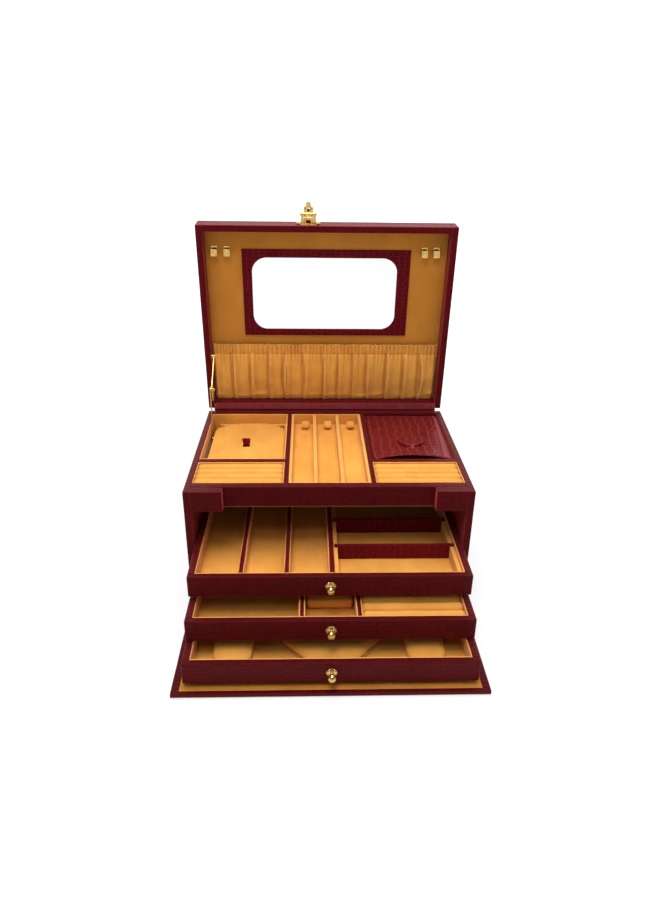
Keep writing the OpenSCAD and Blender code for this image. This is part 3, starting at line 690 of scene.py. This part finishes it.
# ---------------------------------------------------------------- ring rolls
def soft_roll(piece, x0, x1, y, z, r, seed):
    """One stuffed roll: round on top, pinched where it meets the slab, with crowned ends and slow waves."""
    around, along = 22, max(10, int((x1 - x0) / 4))
    verts, faces, uv = [], [], []
    for i in range(along + 1):
        t = i / along
        x = x0 + (x1 - x0) * t
        end = min(t, 1 - t) * (x1 - x0)
        swell = math.sqrt(max(0.0, 1 - (1 - min(1.0, end / 4.5)) ** 2)) * 0.28 + 0.72
        rr = r * swell + 0.22 * noise_at(x * 0.05, seed, 1.0)
        yc = y + 0.28 * noise_at(x * 0.03, seed, 5.0)
        for k in range(around):
            a = math.pi * (1.28 - 1.56 * k / (around - 1))
            fuzz = 1 + 0.018 * noise_at(x * 0.12, a * 2, seed)
            verts.append(Vector((x, yc + rr * fuzz * math.cos(a), z + rr * fuzz * math.sin(a))))
    for i in range(along):
        for k in range(around - 1):
            quad = [(i, k), (i, k + 1), (i + 1, k + 1), (i + 1, k)]
            faces.append([a * around + b for a, b in quad])
            uv.append([((x0 + (x1 - x0) * a / along) * MM, (y + b * 1.4) * MM + seed) for a, b in quad])
    for i in (0, along):
        ring = [i * around + k for k in range(around)]
        faces.append(ring if i else ring[::-1])
        uv.append([(verts[n][1] * MM, verts[n][2] * MM) for n in faces[-1]])
    for i in range(along):
        faces.append([i * around, (i + 1) * around, (i + 2) * around - 1, (i + 1) * around - 1])
        uv.append([(0, 0), (0, MM), (MM, MM), (MM, 0)])
    piece.add(verts, faces, uv, [0.0] * len(verts))


def is_cushion(lo, hi):
    """Whether a solid of drawer_2_rolls is the cushion of the middle bay."""
    return lo[0] > -30 and hi[0] < 30


for name, body in (("ring_rolls_left", "case"), ("ring_rolls_right", "case"), ("drawer_2_rolls", "drawer_2")):
    lift, wide, back = (2.3, 1.1, 0.5) if body == "case" else (0.8, 0.6, 0)
    piece = Piece()
    for bm in solids(name, CASE):
        lo, hi = extent(bm)
        is_roll = len(bm.verts) > 8
        bm.free()
        if is_roll:
            soft_roll(piece, lo[0] - wide, hi[0] + wide, (lo[1] + hi[1]) / 2 + back,
                      (lo[2] + hi[2]) / 2 + lift, (hi[2] - lo[2]) / 2 + 0.3, next_seed())
        elif not (body == "drawer_2" and is_cushion(lo, hi)):
            rbox(piece, lo, hi, 0.8, seed=next_seed())
    ob = build("soft_" + name, piece, [CLOTH], body, [name], "suede")


# ---------------------------------------------------------------- stuffed pads, inflated as cloth
PRESSURE, LAST_FRAME = 4.0, 16


def apply_modifier(ob, kind, **settings):
    modifier = ob.modifiers.new(kind, kind)
    for key, value in settings.items():
        setattr(modifier, key, value)
    bpy.ops.object.modifier_apply(modifier=modifier.name)


def inflate(name, part, body, cap, voxel):
    """Remeshes a CAD solid, swells it under pressure, limits the movement, and smooths the result."""
    mesh = bpy.data.meshes.new(name)
    bmesh.ops.triangulate(part, faces=part.faces)
    for v in part.verts:
        v.co *= MM
    part.to_mesh(mesh)
    part.free()
    ob = bpy.data.objects.new(name, mesh)
    bpy.context.scene.collection.objects.link(ob)
    bpy.context.view_layer.objects.active = ob
    for other in bpy.context.selected_objects:
        other.select_set(False)
    ob.select_set(True)
    apply_modifier(ob, "REMESH", mode="VOXEL", voxel_size=voxel * MM)
    rest = np.array([v.co for v in ob.data.vertices])
    cloth = ob.modifiers.new("cloth", "CLOTH")
    cloth.settings.use_pressure = True
    cloth.settings.uniform_pressure_force = PRESSURE
    cloth.settings.effector_weights.gravity = 0
    for f in range(1, LAST_FRAME + 1):
        bpy.context.scene.frame_set(f)
    bpy.ops.object.modifier_apply(modifier="cloth")
    bpy.context.scene.frame_set(1)
    move = np.array([v.co for v in ob.data.vertices]) - rest
    length = np.linalg.norm(move, axis=1)
    scale = np.where(length > cap * MM, cap * MM / np.maximum(length, 1e-9), 1)
    now = rest + move * scale[:, None]
    now[:, 2] = np.maximum(now[:, 2], rest[:, 2].min())
    ob.data.vertices.foreach_set("co", now.astype(np.float32).ravel())
    ob.data.update()
    apply_modifier(ob, "SMOOTH", factor=0.5, iterations=4)
    apply_modifier(ob, "SUBSURF", levels=1, render_levels=1)
    mesh = ob.data
    layer = mesh.uv_layers[0] if mesh.uv_layers else mesh.uv_layers.new(name="UVMap")
    for loop in mesh.loops:
        co = mesh.vertices[loop.vertex_index].co
        layer.data[loop.index].uv = (co[0], co[1] + co[2] * 0.5)
    set_values(ob, "edge", [0.0] * len(mesh.vertices))
    mesh.polygons.foreach_set("use_smooth", [True] * len(mesh.polygons))
    mesh.materials.clear()
    mesh.materials.append(CLOTH)
    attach(ob, body)
    return ob


def outline_solid(points, z0, z1):
    bm = bmesh.new()
    low = [bm.verts.new((x, y, z0)) for x, y in points]
    high = [bm.verts.new((x, y, z1)) for x, y in points]
    bm.faces.new(low[::-1])
    bm.faces.new(high)
    for k in range(len(points)):
        j = (k + 1) % len(points)
        bm.faces.new((low[k], low[j], high[j], high[k]))
    return bm


def rounded(x0, x1, y0, y1, r):
    """Outline of a rectangle with round corners."""
    corners = ((x1 - r, y1 - r, 0), (x0 + r, y1 - r, 90), (x0 + r, y0 + r, 180), (x1 - r, y0 + r, 270))
    turns = [(cx, cy, math.radians(start + 11.25 * k)) for cx, cy, start in corners for k in range(9)]
    return [(cx + r * math.cos(a), cy + r * math.sin(a)) for cx, cy, a in turns]


pads = sorted(solids("drawer_3_pads", CASE), key=lambda b: extent(b)[0][0])
for pad_name, bm in zip(("pad_left", "pad_centre", "pad_right"), pads):
    if pad_name != "pad_centre":
        lo, hi = extent(bm)
        bm.free()
        bm = outline_solid(rounded(lo[0] - 1, hi[0] + 1, lo[1] - 1, hi[1], 19.0), lo[2] + 0.1, hi[2])
    ob = inflate(pad_name, bm, "drawer_3", 2.4, voxel=3.0)
    if pad_name == "pad_left":
        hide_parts("drawer_3_pads")
for bm in solids("drawer_2_rolls", CASE):
    if is_cushion(*extent(bm)):
        inflate("cushion_2", bm, "drawer_2", 2.5, voxel=4.0)
    else:
        bm.free()

# piping round the middle pad of the bottom drawer
DRAWER_3_FRONT = FRONT - 125.6
CORD_Z = 20.1
route = [(-72, DRAWER_3_FRONT + 150), (-72, DRAWER_3_FRONT + 71), (-27, DRAWER_3_FRONT + 21),
         (28.5, DRAWER_3_FRONT + 21), (72, DRAWER_3_FRONT + 71), (72, DRAWER_3_FRONT + 150)]
points = []
for (ax, ay), (bx, by) in zip(route, route[1:]):
    n = max(2, int(math.hypot(bx - ax, by - ay) / 6))
    points += [(ax + (bx - ax) * k / n, ay + (by - ay) * k / n) for k in range(n)]
points.append(route[-1])
curve = bpy.data.curves.new("pad_piping", "CURVE")
curve.dimensions = "3D"
curve.bevel_depth, curve.bevel_resolution = 0.7 * MM, 3
spline = curve.splines.new("POLY")
spline.points.add(len(points) - 1)
for p, (x, y) in zip(spline.points, points):
    p.co = (x * MM, y * MM, (CORD_Z + 0.15 * math.sin(x * 0.3 + y * 0.2)) * MM, 1)
curve.materials.append(PIPING)
piping = bpy.data.objects.new("pad_piping", curve)
bpy.context.scene.collection.objects.link(piping)
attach(piping, "drawer_3")


# ---------------------------------------------------------------- suede cover with a pinked back edge
COVER_FRONT, COVER_BACK = FRONT + 83.3, FRONT + 214.6
PINK_DEPTH, PINK_STEP, PINK_FROM = 2.8, 5.6, FRONT + 190         # the zigzag, and where it starts


def cover_outline():
    """Outline of the cover, anticlockwise from the front left corner; the back corners are round."""
    x0, x1, ya, yb, r, rx = -147.3, -54.1, COVER_FRONT, COVER_BACK, 26.0, 40.0
    pts = [(x0 + (x1 - x0) * k / 18, ya) for k in range(19)]
    pts += [(x1, ya + (yb - r - ya) * k / 20) for k in range(1, 20)]
    turn = np.linspace(0, math.pi / 2, 26)
    pts += [(x1 - rx + rx * math.cos(a), yb - r + r * math.sin(a)) for a in turn]
    pts += [(x1 - rx - (x1 - x0 - 2 * rx) * k / 14, yb) for k in range(1, 14)]
    pts += [(x0 + rx + rx * math.cos(a), yb - r + r * math.sin(a)) for a in turn + math.pi / 2]
    return pts + [(x0, yb - r - (yb - r - ya) * k / 20) for k in range(1, 20)]


outline = cover_outline()
cx, cy, base_z = -100.7, FRONT + 146.0, 147.0
length, walk = [0.0], 0.0
for a, b in zip(outline, outline[1:]):
    walk += math.dist(a, b)
    length.append(walk)
dense = []
n = 420
for k in range(n):
    s = walk * k / (n - 1)
    i = min(max(j for j in range(len(length)) if length[j] <= s + 1e-9), len(outline) - 2)
    t = (s - length[i]) / max(length[i + 1] - length[i], 1e-9)
    dense.append([a + (b - a) * t for a, b in zip(outline[i], outline[i + 1])])
rings = [1.0, 0.985, 0.96, 0.92, 0.86, 0.78, 0.66, 0.5, 0.32, 0.15]
verts, edge = [], []
for level, is_top in [(ring, True) for ring in rings] + [(rings[0], False)]:
    for k, (x, y) in enumerate(dense):
        pinked = level > 0.95 and y > PINK_FROM
        pink = PINK_DEPTH * abs(math.sin(math.pi * k * walk / n / PINK_STEP)) - PINK_DEPTH if pinked else 0.0
        dx, dy = x - cx, y - cy
        q = level + pink / math.hypot(dx, dy) * (1 if level > 0.99 else 0.5)
        px, py = cx + dx * q, cy + dy * q
        z = base_z
        if is_top:
            crown = (1 - level ** 5) * min(1.0, max(0.0, (py - COVER_FRONT - 5) / 16)) ** 1.4
            z += 1.4 + 2.4 * crown + 0.35 * noise_at(px * 0.03, py * 0.03, 2.0) * (1 - level)
            if level > 0.999:
                z -= 0.5
            if pinked:
                z += 1.1 + 0.5 * pink
        verts.append(Vector((px, py, z)))
        edge.append(1.0 if level > 0.99 else 0.0)
rows, centre = len(rings), len(verts)
verts.append(Vector((cx, cy, base_z + 3.8)))
edge.append(0.0)
faces = [[i * n + k, i * n + (k + 1) % n, (i + 1) * n + (k + 1) % n, (i + 1) * n + k]
         for i in range(rows - 1) for k in range(n)]
for k in range(n):
    j = (k + 1) % n
    faces += [[(rows - 1) * n + k, (rows - 1) * n + j, centre], [rows * n + k, rows * n + j, j, k]]
faces.append([rows * n + k for k in range(n)][::-1])
piece = Piece()
piece.add(verts, faces, [flat_uv(verts, f) for f in faces], edge)
cover = build("cover_pad", piece, [HONEY], "cover", ["suede_cover"], "suede", weighted=False)


# pull tab: a folded strip of leather that flares to the top and leans back
def tab_point(i, j):
    t, s = i / 14, j / 8 * 2 - 1
    lean = -4.6 - 1.6 * t + 0.7 * math.sin(t * math.pi)
    round_top = 0.9 * (1 - math.sqrt(max(0.0, 1 - abs(s) ** 4))) * t
    p = Vector((-102 + s * (3.9 + 1.5 * t ** 1.2), FRONT + 145.2 + lean + 0.5 * (1 - s * s),
                150.3 + 10.4 * t - round_top))
    return p, p + Vector((0, 1.5, 0.1))


piece = Piece()
sheet(piece, 15, 9, tab_point, uv=lambda i, j: (j * 1.2 * MM, i * 0.8 * MM))
# a near-black foot at the tab's base: painted shadow
rbox(piece, (-106.4, FRONT + 136.2, 150.0), (-97.8, FRONT + 141.6, 151.0), 0.45, step=3, wob=0.0, mat=1)
build("pull_tab", piece, [LIT_TAB, SHADOW_LEATHER], "cover", ["cover_tab"], "leather", weighted=False)


# ---------------------------------------------------------------- travel wallet
WX0, WX1, WY0, WY1 = 54.05, 151.25, FRONT + 82.9, FRONT + 216.5
WALLET_LENGTH = 132
piece = Piece()
rbox(piece, (WX0 + 0.6, WY0 + 0.8, 145.5), (WX1 - 0.4, WY1 - 0.4, 150.6), 2.0, wob=0.2, seed=next_seed())
rbox(piece, (WX0 + 1.2, WY0 + 7.0, 150.7), (WX1 - 0.8, WY1 - 0.8, 158.4), 1.8, wob=0.25, seed=next_seed())
# a near-black slab behind the flap's raised front edge: painted shadow under the lip
rbox(piece, (WX0 + 4, WY0 + 6.4, 150.9), (WX1 - 4, WY0 + 9.0, 159.6), 0.6, seed=next_seed(), mat=1)
build("wallet_body", piece, [WINE, SHADOW_LEATHER], "wallet", ["travel_wallet"], "leather")

ROWS, COLS = 44, 41


def flap_point(i, j):
    """Top sheet: arched, higher along its front edge, turned down at the sides and at the back."""
    u, v = j / (COLS - 1), i / (ROWS - 1)
    x = WX0 + (WX1 - WX0) * u
    arch = max(0.0, 1 - (2 * u - 1) ** 2)
    front = math.exp(-(v * WALLET_LENGTH / 16) ** 2)
    y = WY0 + 0.3 + 5.2 * arch * front + (WY1 - WY0 - 0.6) * v
    z = 160.5 + 2.6 * arch * front - 1.3 * front * (1 - arch)
    z += 0.9 * (1 - (2 * v - 1) ** 2) * arch + 0.35 * noise_at(x * 0.05, y * 0.05, 3.0)
    z -= 1.3 * math.exp(-min(u, 1 - u) * (WX1 - WX0) / 1.6) + math.exp(-(1 - v) * WALLET_LENGTH / 2.0)
    return (x, y, z), (x, y + 0.1, z - 1.2)


def top_z(x, y):
    """Height of the wallet's top sheet at a point, for the pieces that lie on it."""
    j = min(COLS - 1, max(0, round((x - WX0) / (WX1 - WX0) * (COLS - 1))))
    i = min(ROWS - 1, max(0, round((y - WY0) / (WY1 - WY0) * (ROWS - 1))))
    return flap_top[i][j][2]


# the right border strip: its wedge shape, widest at the front, and its lighter leather are a painted reflection
def reflection_border_point(i, j):
    v, s = i / 39, j / 8
    x, y = 149.0 - (2.6 + 8.0 * (1 - v)) * (1 - s) + 1.6 * s, WY0 + 1.2 + (WY1 - WY0 - 2.4) * v
    z = top_z(x, y) + 0.75 * math.sin(math.pi * min(1.0, s * 1.6 + 0.12)) ** 0.5
    z -= 12.0 * max(0.0, s - 0.75) ** 2
    return (x, y, z), (x, y, z - 0.8)


def tongue_point(i, j):
    t, s = i / 14, j / 20 * 2 - 1
    x, y = 105 + s * 17.0, FRONT + 129 - 15.0 * math.sqrt(max(0.0, 1 - s * s * 0.999)) * t
    z = top_z(x, y) + 0.35 + 2.6 * t * t * (0.4 + 0.6 * abs(s)) - 0.9 * math.exp(-(s / 0.18) ** 2) * t
    return (x, y, z), (x, y + 0.2, z - 0.9)


def keeper_point(i, j):
    t, s = i / 11, j / 6 * 2 - 1
    x, y = 105 + 2.6 * s, FRONT + 107.5 + 13 * t
    z = top_z(x, y) + 0.5 + 2.1 * math.sin(math.pi * t) ** 0.7
    return (x, y, z), (x, y, z - 0.9)


piece = Piece()
flap_top = sheet(piece, ROWS, COLS, flap_point)
sheet(piece, 40, 9, reflection_border_point, mat=1)
sheet(piece, 15, 21, tongue_point)
sheet(piece, 12, 7, keeper_point, mat=1)
build("wallet_top", piece, [WINE, PLAIN_AND_REFLECTION], "wallet", ["travel_wallet_flap"], "leather", weighted=False)


# ---------------------------------------------------------------- gathered pocket in the lid
HEADER = 74                                      # height of the gathering thread; the header is above it
rng = random.Random(11)


def draw_marks(x, end, first, second, gap):
    """Random marks along the pocket: a place and two values each."""
    marks = []
    while x < end:
        marks.append((x, rng.uniform(*first), rng.uniform(*second)))
        x += rng.uniform(*gap)
    return marks


folds = draw_marks(-150.0, 150, (0.75, 1.2), (-1.5, 1.5), (19.5, 27.0))
gathers = draw_marks(-151.0, 151, (0.5, 1.15), (8.0, 24.0), (3.4, 6.6))


def mark_at(marks, x, end):
    """The mark before x, and the width from it to the next."""
    i = max(0, bisect.bisect_left(marks, (x,)) - 1)
    return marks[i], (marks[i + 1][0] if i + 1 < len(marks) else end) - marks[i][0]


def bell(distance, width):
    return math.exp(-(distance / width) ** 2)


def pocket_w(x, u):
    """Distance of the cloth from the rim plane of the lid: smaller stands out towards the front."""
    below = max(0.0, min(1.0, (u - 8.0) / 66.0))
    (at, size, tilt), wide = mark_at(folds, x, 153.0)
    d = (x - at - tilt * math.sin(math.pi * below) * 1.6) % wide
    rise = size * (4.6 * bell(d, 3.4) + 4.6 * bell(wide - d, 1.1) - 2.0 * bell(wide - d - 3.2, 2.2))
    rise += 1.6 * math.sin(math.pi * d / wide) ** 0.7
    (at, size, fade), wide = mark_at(gathers, x, 152.0)
    small = math.sin(math.pi * min(1.0, max(0.0, (x - at) / wide))) ** 1.3 * size
    if u < HEADER:
        level = 16.4 - 4.6 * math.sin(math.pi * min(1.0, 0.06 + 0.86 * below)) ** 0.55 + 1.2 * below ** 6
        shift = -rise * (0.25 + 0.75 * math.sin(math.pi * min(1.0, 0.10 + 0.80 * below)))
        shift -= 2.4 * small * math.exp(-(HEADER - u) / (fade * 0.7))
    else:
        level = 14.4
        shift = -rise * max(0.0, 1 - (u - HEADER) / 3) * 0.25
        shift -= (1.6 + 1.4 * (u - HEADER) / 14) * small - 0.5
    shift += 1.1 * bell(u - HEADER, 1.4)
    sag = 15.0 + 5.0 * noise_at(x * 0.03, 0, 6.0)
    shift -= 2.2 * max(0.0, 0.35 + noise_at(x * 0.05, 3.0, 6.0)) * bell(u - sag, 2.6)
    slack = 40.0 + 22.0 * noise_at(x * 0.06, 5.0, 1.0)
    shift -= 1.5 * max(0.0, noise_at(x * 0.07, u * 0.02, 8.0)) * bell(u - slack, 5.0)
    shift += 0.7 * noise_at(x * 0.045, u * 0.06, 4.0) * min(1.0, (u - 8) / 20)
    ends = min(1.0, (151.9 - abs(x)) / 5.0)
    return min(19.0, (level + shift) * ends + 17.5 * (1 - ends))


us = [8.2 + 1.9 * k for k in range(34)]
us += [72.6, 73.4, 74.0, 74.7, 75.6, 77, 79, 81, 83, 85, 86.8, 88.2]
xs = np.linspace(-151.7, 151.7, 640).tolist()


def pocket_point(i, j):
    x, u = xs[j], us[i]
    w = pocket_w(x, u)
    y = -LID_GAP - u - (0.7 * noise_at(x * 0.25, 0, 9.0) if u > 86 else 0.0)
    return (x, y, w), (x, y, w + 0.55)


piece = Piece()
top = sheet(piece, len(us), len(xs), pocket_point, uv=lambda i, j: (xs[j] * 1.2 * MM, us[i] * MM))
pocket = build("gathered_pocket", piece, [CLOTH], "lid", ["lid_pocket"], "suede", LID, weighted=False)
# painted shade in the cloth's hollows and painted highlight on its ridges, measured from its average surface
heights = np.array([[p[2] for p in row] for row in top])
around = heights.copy()
for _ in range(3):
    wider = np.pad(around, ((0, 0), (6, 6)), mode="edge")
    around = np.mean([wider[:, q:q + heights.shape[1]] for q in range(13)], axis=0)
hollow_shade = 0.75 * np.clip((heights - around) / 1.5, 0, 1) ** 0.8
ridge_highlight = np.clip((around - heights) / 2.2, 0, 1) ** 1.3
for name, values in (("deep", hollow_shade), ("edge", ridge_highlight)):
    set_values(pocket, name, np.tile(values.ravel(), 2).astype(np.float32))


# ---------------------------------------------------------------- leather hinge strips
def strip_piece(name, route, half, t, to, start, end, node_name, seed):
    """A leather strip along X that follows a route in Y and Z, bent between the case and another body."""
    steps, smooth_above = 60, 163.9

    def across(j):
        return -half + 2 * half * j / steps

    def at(k, j):
        (y, z), (dy, dz) = route[k], direction(route, k)
        x = across(j)
        out = t + 0.12 * noise_at(x * 0.04, k * 0.3, seed)
        return (x, y - dz * out, z + dy * out), (x, y, z)

    piece = Piece()
    sheet(piece, len(route), steps + 1, at, uv=lambda i, j: (across(j) * MM, i * 1.1 * MM))
    if to == "lid":
        piece.m = [int(min(piece.v[q][2] for q in face) > smooth_above) for face in piece.f]
    ob = build(name, piece, [BURGUNDY, SMOOTH], None, [node_name], "leather", weighted=False)
    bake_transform(ob, "case", to, start=start, end=end)


lid_route = [(104.8 + 1.0 * k, 161.72) for k in range(9)]
lid_route += [(112.8 + 1.9 * math.sin(a), 163.62 - 1.9 * math.cos(a)) for a in np.linspace(0.15, 1.5, 8)]
lid_route += [(114.78 + 0.07 * k, 164.2 + 1.0 * k) for k in range(9)]
strip_piece("hinge_strip_lid", lid_route, 152.4, 0.45, "lid",
            (0, 0.1122, 0.1618), (0, 0.1148, 0.1655), "lid_hinge_strip", 1.0)
flap_route = [(FRONT + 9.0 - 0.9 * k, 6.08) for k in range(10)]
flap_route += [(FRONT + 0.9 - 0.35 * k, 6.06 - 0.05 * k) for k in range(1, 9)]
strip_piece("hinge_strip_flap", flap_route[::-1], 151.0, 0.4, "flap",
            (0, -0.1136, 0.006), (0, -0.1162, 0.006), "flap_hinge_strip", 2.0)


# ---------------------------------------------------------------- brass fittings
def facing(axis, degrees, x, y, z):
    """Placement whose Z is turned about an axis."""
    return Matrix.Translation((x, y, z)) @ Matrix.Rotation(math.radians(degrees), 4, axis)


KNOB = [(5.55, -0.02), (5.85, 0.3), (5.75, 0.8), (5.0, 1.05), (4.75, 1.5), (3.9, 1.9), (2.7, 2.3), (2.1, 2.9),
        (1.95, 3.6), (2.3, 3.9), (2.6, 4.1), (2.5, 4.3)]
KNOB += [(4.45 * math.sin(math.pi * q / 12), 7.65 - 4.3 * math.cos(math.pi * q / 12)) for q in range(3, 12)]
KNOB += [(0.5, 12.0)]
for k, out in ((1, 60.7), (2, 92.9), (3, 125.6)):
    lo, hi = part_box("drawer_%d_knob" % k)
    y, z = FRONT - out, (lo[2] + hi[2]) / 2 / MM
    piece = Piece()
    lathe(piece, KNOB, 64, facing("X", 90, 0, y, z), flutes=12, depth=0.05, fluted_rings=6)
    lathe(piece, [(1.5, -0.6), (1.5, 7.3), (1.1, 7.5)], 24, facing("X", -90, 0, y + 0.2, z))
    build("knob_%d" % k, piece, [BRASS], "drawer_%d" % k, ["drawer_%d_knob" % k], "brass", weighted=False)

# latch: frame on the lid's front wall, z outward, y towards the rim
LATCH_AXIS = 12.0                                # height of the lever's axis over the wall
ON_LATCH = (LID @ Matrix.Translation((-23.3 * MM, -(LID_GAP + 245) * MM, 9.6 * MM))
            @ Matrix.Rotation(math.radians(90), 4, "X"))
piece = Piece()
for bm in solids("latch_plate", ON_LATCH):
    soften(piece, bm, 0.32)
for x, y in ((-10.6, 3.2), (10.6, 3.2)):
    lathe(piece, [(1.9, 1.2), (1.9, 1.5), (1.3, 2.0), (0.4, 2.2)], 24, Matrix.Translation((x, y, 0)))
for x in (-7.4, 7.4):
    lathe(piece, [(1.9, 1.1), (2.2, 2.0), (1.5, 2.6), (1.5, 3.2), (2.3, 3.8), (1.7, 4.5)], 24,
          Matrix.Translation((x, 3.4, 0)))
    lathe(piece, [(2.4, 0), (2.4, 0.5), (1.5, 1.0), (0.4, 1.2)], 28,
          facing("Y", math.copysign(90, x), x + math.copysign(1.5, x), 0, LATCH_AXIS))
rbox(piece, (-5.5, -3.4, 1.0), (5.5, 3.4, 9.2), 0.9, step=3, wob=0.0)
rbox(piece, (-3.0, -3.75, 2.0), (3.0, -3.2, 5.6), 0.25, step=3, wob=0.0, mat=1)
rbox(piece, (-3.0, 3.2, 2.0), (3.0, 3.75, 5.6), 0.25, step=3, wob=0.0, mat=1)
build("latch_base", piece, [BRASS, RED], "lid", ["latch_plate"], "brass", ON_LATCH)

piece = Piece()
for bm in solids("latch_lever", ON_LATCH):
    soften(piece, bm, 0.3)
lathe(piece, [(2.2, 0), (2.6, 0.4), (2.6, 2.6), (2.2, 3.0), (2.2, 7.4), (2.6, 7.8), (2.6, 10.0), (2.2, 10.4)],
      28, facing("Y", 90, -5.2, 0, LATCH_AXIS))
rbox(piece, (-1.5, -0.5, 14.0), (1.5, 0.5, 19.5), 0.3, step=3, wob=0.0, mat=1)
for x in (-4.0, 4.0):
    lathe(piece, [(0.6, 0), (1.5, 0.6), (1.7, 1.6), (1.0, 2.6), (1.5, 3.2), (1.3, 4.0), (0.3, 4.6)], 20,
          Matrix.Translation((x, 0, 18.4)))
piece.v = [(x, y, z if z < LATCH_AXIS else LATCH_AXIS + (z - LATCH_AXIS) * 0.84) for x, y, z in piece.v]
build("latch_hasp", piece, [BRASS, RED], "latch", ["latch_lever"], "brass", ON_LATCH)

# turned rosette at the elbow of the stay, collar on its upper arm, domed head on its foot
ARM, ARM_TILT = 67, math.radians(85)
FOOT_Y, FOOT_Z = FRONT + 182, 141
elbow = Vector((-146.9, FOOT_Y + ARM * math.cos(ARM_TILT), FOOT_Z + ARM * math.sin(ARM_TILT)))
foot = Vector((-149.9, FOOT_Y, FOOT_Z))
along = (Vector((-149.9, elbow[1], elbow[2])) - foot).normalized()
flat = (Matrix.Translation((-147.0, foot[1], foot[2])) @ Matrix.Diagonal((0.5, 1, 1, 1))
        @ along.to_track_quat("Z", "X").to_matrix().to_4x4())
for name, body, segments, place, profile in (
        ("stay_rosette", "stay_upper", 30, facing("Y", 90, *elbow),
         [(2.9, -0.4), (3.3, 0.2), (2.9, 0.8), (1.9, 1.1), (2.2, 1.6), (1.6, 2.4), (0.4, 2.8)]),
        ("stay_collar", "stay_upper", 24, flat,
         [(0.8, 52.0), (1.9, 53.2), (1.6, 54.6), (2.5, 57.0), (2.8, 60.0), (2.2, 63.0), (2.6, 66.0),
          (2.0, 69.0), (0.9, 70.5)]),
        ("stay_foot_cap", "stay_lower", 24, facing("Y", 90, -148.2, foot[1], foot[2]),
         [(3.0, -1.0), (3.2, 0.6), (2.6, 2.4), (1.2, 3.2), (0.3, 3.3)])):
    piece = Piece()
    lathe(piece, profile, segments, place)
    build(name, piece, [BRASS], body, slot="brass", weighted=False)

# ---------------------------------------------------------------- stage, light, camera, in metres
scene = bpy.context.scene
scene.view_settings.view_transform = "Standard"
scene.view_settings.look = "None"

# pale floor that curves up into a backdrop and glows towards it
FLOOR_Z = -0.0004
profile = [(-14.0, FLOOR_Z), (2.0, FLOOR_Z)]
profile += [(2.0 + math.sin(a), 1.0 - math.cos(a)) for a in np.linspace(0.1, math.pi / 2, 14)] + [(3.0, 4.0)]
mesh = bpy.data.meshes.new("floor")
bm = bmesh.new()
left, right = [[bm.verts.new((x, y, z)) for y, z in profile] for x in (-14.0, 14.0)]
for k in range(len(profile) - 1):
    bm.faces.new((left[k], right[k], right[k + 1], left[k + 1]))
bm.to_mesh(mesh)
bm.free()
mesh.polygons.foreach_set("use_smooth", [True] * len(mesh.polygons))
floor = bpy.data.objects.new("floor", mesh)
scene.collection.objects.link(floor)
mat, nt, shader = new_material("pale_floor")
where = node(nt, "SeparateXYZ", Vector=object_place(nt)).outputs
glow = map_range(nt, where["Y"], From_Min=0.3, From_Max=1.3, To_Min=0.63, To_Max=1.0)
sideways = math_node(nt, "ABSOLUTE", where["X"])
fade = map_range(nt, sideways, From_Min=1.5, From_Max=10.0, To_Min=1.0, To_Max=0.66)
fill(nt, shader, Base_Color=(0.36, 0.36, 0.36), Roughness=0.9, Specular_IOR_Level=0.0,
     Emission_Color=(1, 1, 1), Emission_Strength=math_node(nt, "MULTIPLY", glow, fade))
mesh.materials.append(mat)

world = bpy.data.worlds.new("studio")
scene.world = world
world.use_nodes = True
nt = world.node_tree
height = node(nt, "SeparateXYZ", Vector=node(nt, "TexCoord").outputs["Generated"]).outputs["Z"]
sky = ramp(nt, height, grey((0.0, 0.80), (0.08, 0.58), (0.25, 0.32), (0.7, 0.10)))
fill(nt, nt.nodes["Background"], Color=sky, Strength=1.0)

for name, at, look, size, power in (("overhead", (0.0, 0.12, 1.9), (0, 0.05, 0.1), (1.3, 1.2), 31),
                                    ("high_left", (-0.16, -0.72, 1.65), (0, 0, 0.15), (0.5, 0.45), 9.0),
                                    ("front_left", (-0.42, -1.20, 1.45), (0, 0, 0.15), (0.35, 0.25), 1.9),
                                    ("front_right", (0.42, -1.20, 1.45), (0, 0, 0.15), (0.35, 0.25), 1.3)):
    light = bpy.data.lights.new(name, "AREA")
    light.shape = "RECTANGLE"
    light.size, light.size_y = size
    light.energy = power
    ob = bpy.data.objects.new(name, light)
    ob.location = at
    ob.rotation_euler = (Vector(look) - Vector(at)).to_track_quat("-Z", "Y").to_euler()
    scene.collection.objects.link(ob)

# the camera fitted to the photograph: focal length in pixels of the 900 pixel side, axes and place
FOCAL, LONG_SIDE, SENSOR = 691.63, 900, 36
cam_data = bpy.data.cameras.new("camera")
cam_data.lens = FOCAL / LONG_SIDE * SENSOR
cam_data.sensor_width = SENSOR
cam_data.clip_start, cam_data.clip_end = 0.01, 50
camera = bpy.data.objects.new("camera", cam_data)
scene.collection.objects.link(camera)
right = Vector((0.99948, -0.02913, 0.01364)).normalized()
ahead = Vector((0.03216, 0.89851, -0.43778)).normalized()
up = right.cross(ahead).normalized()
turn = Matrix((ahead.cross(up), up, -ahead)).transposed()
camera.matrix_world = Matrix.Translation((-0.02422, -0.76978, 0.53181)) @ turn.to_4x4()
scene.camera = camera
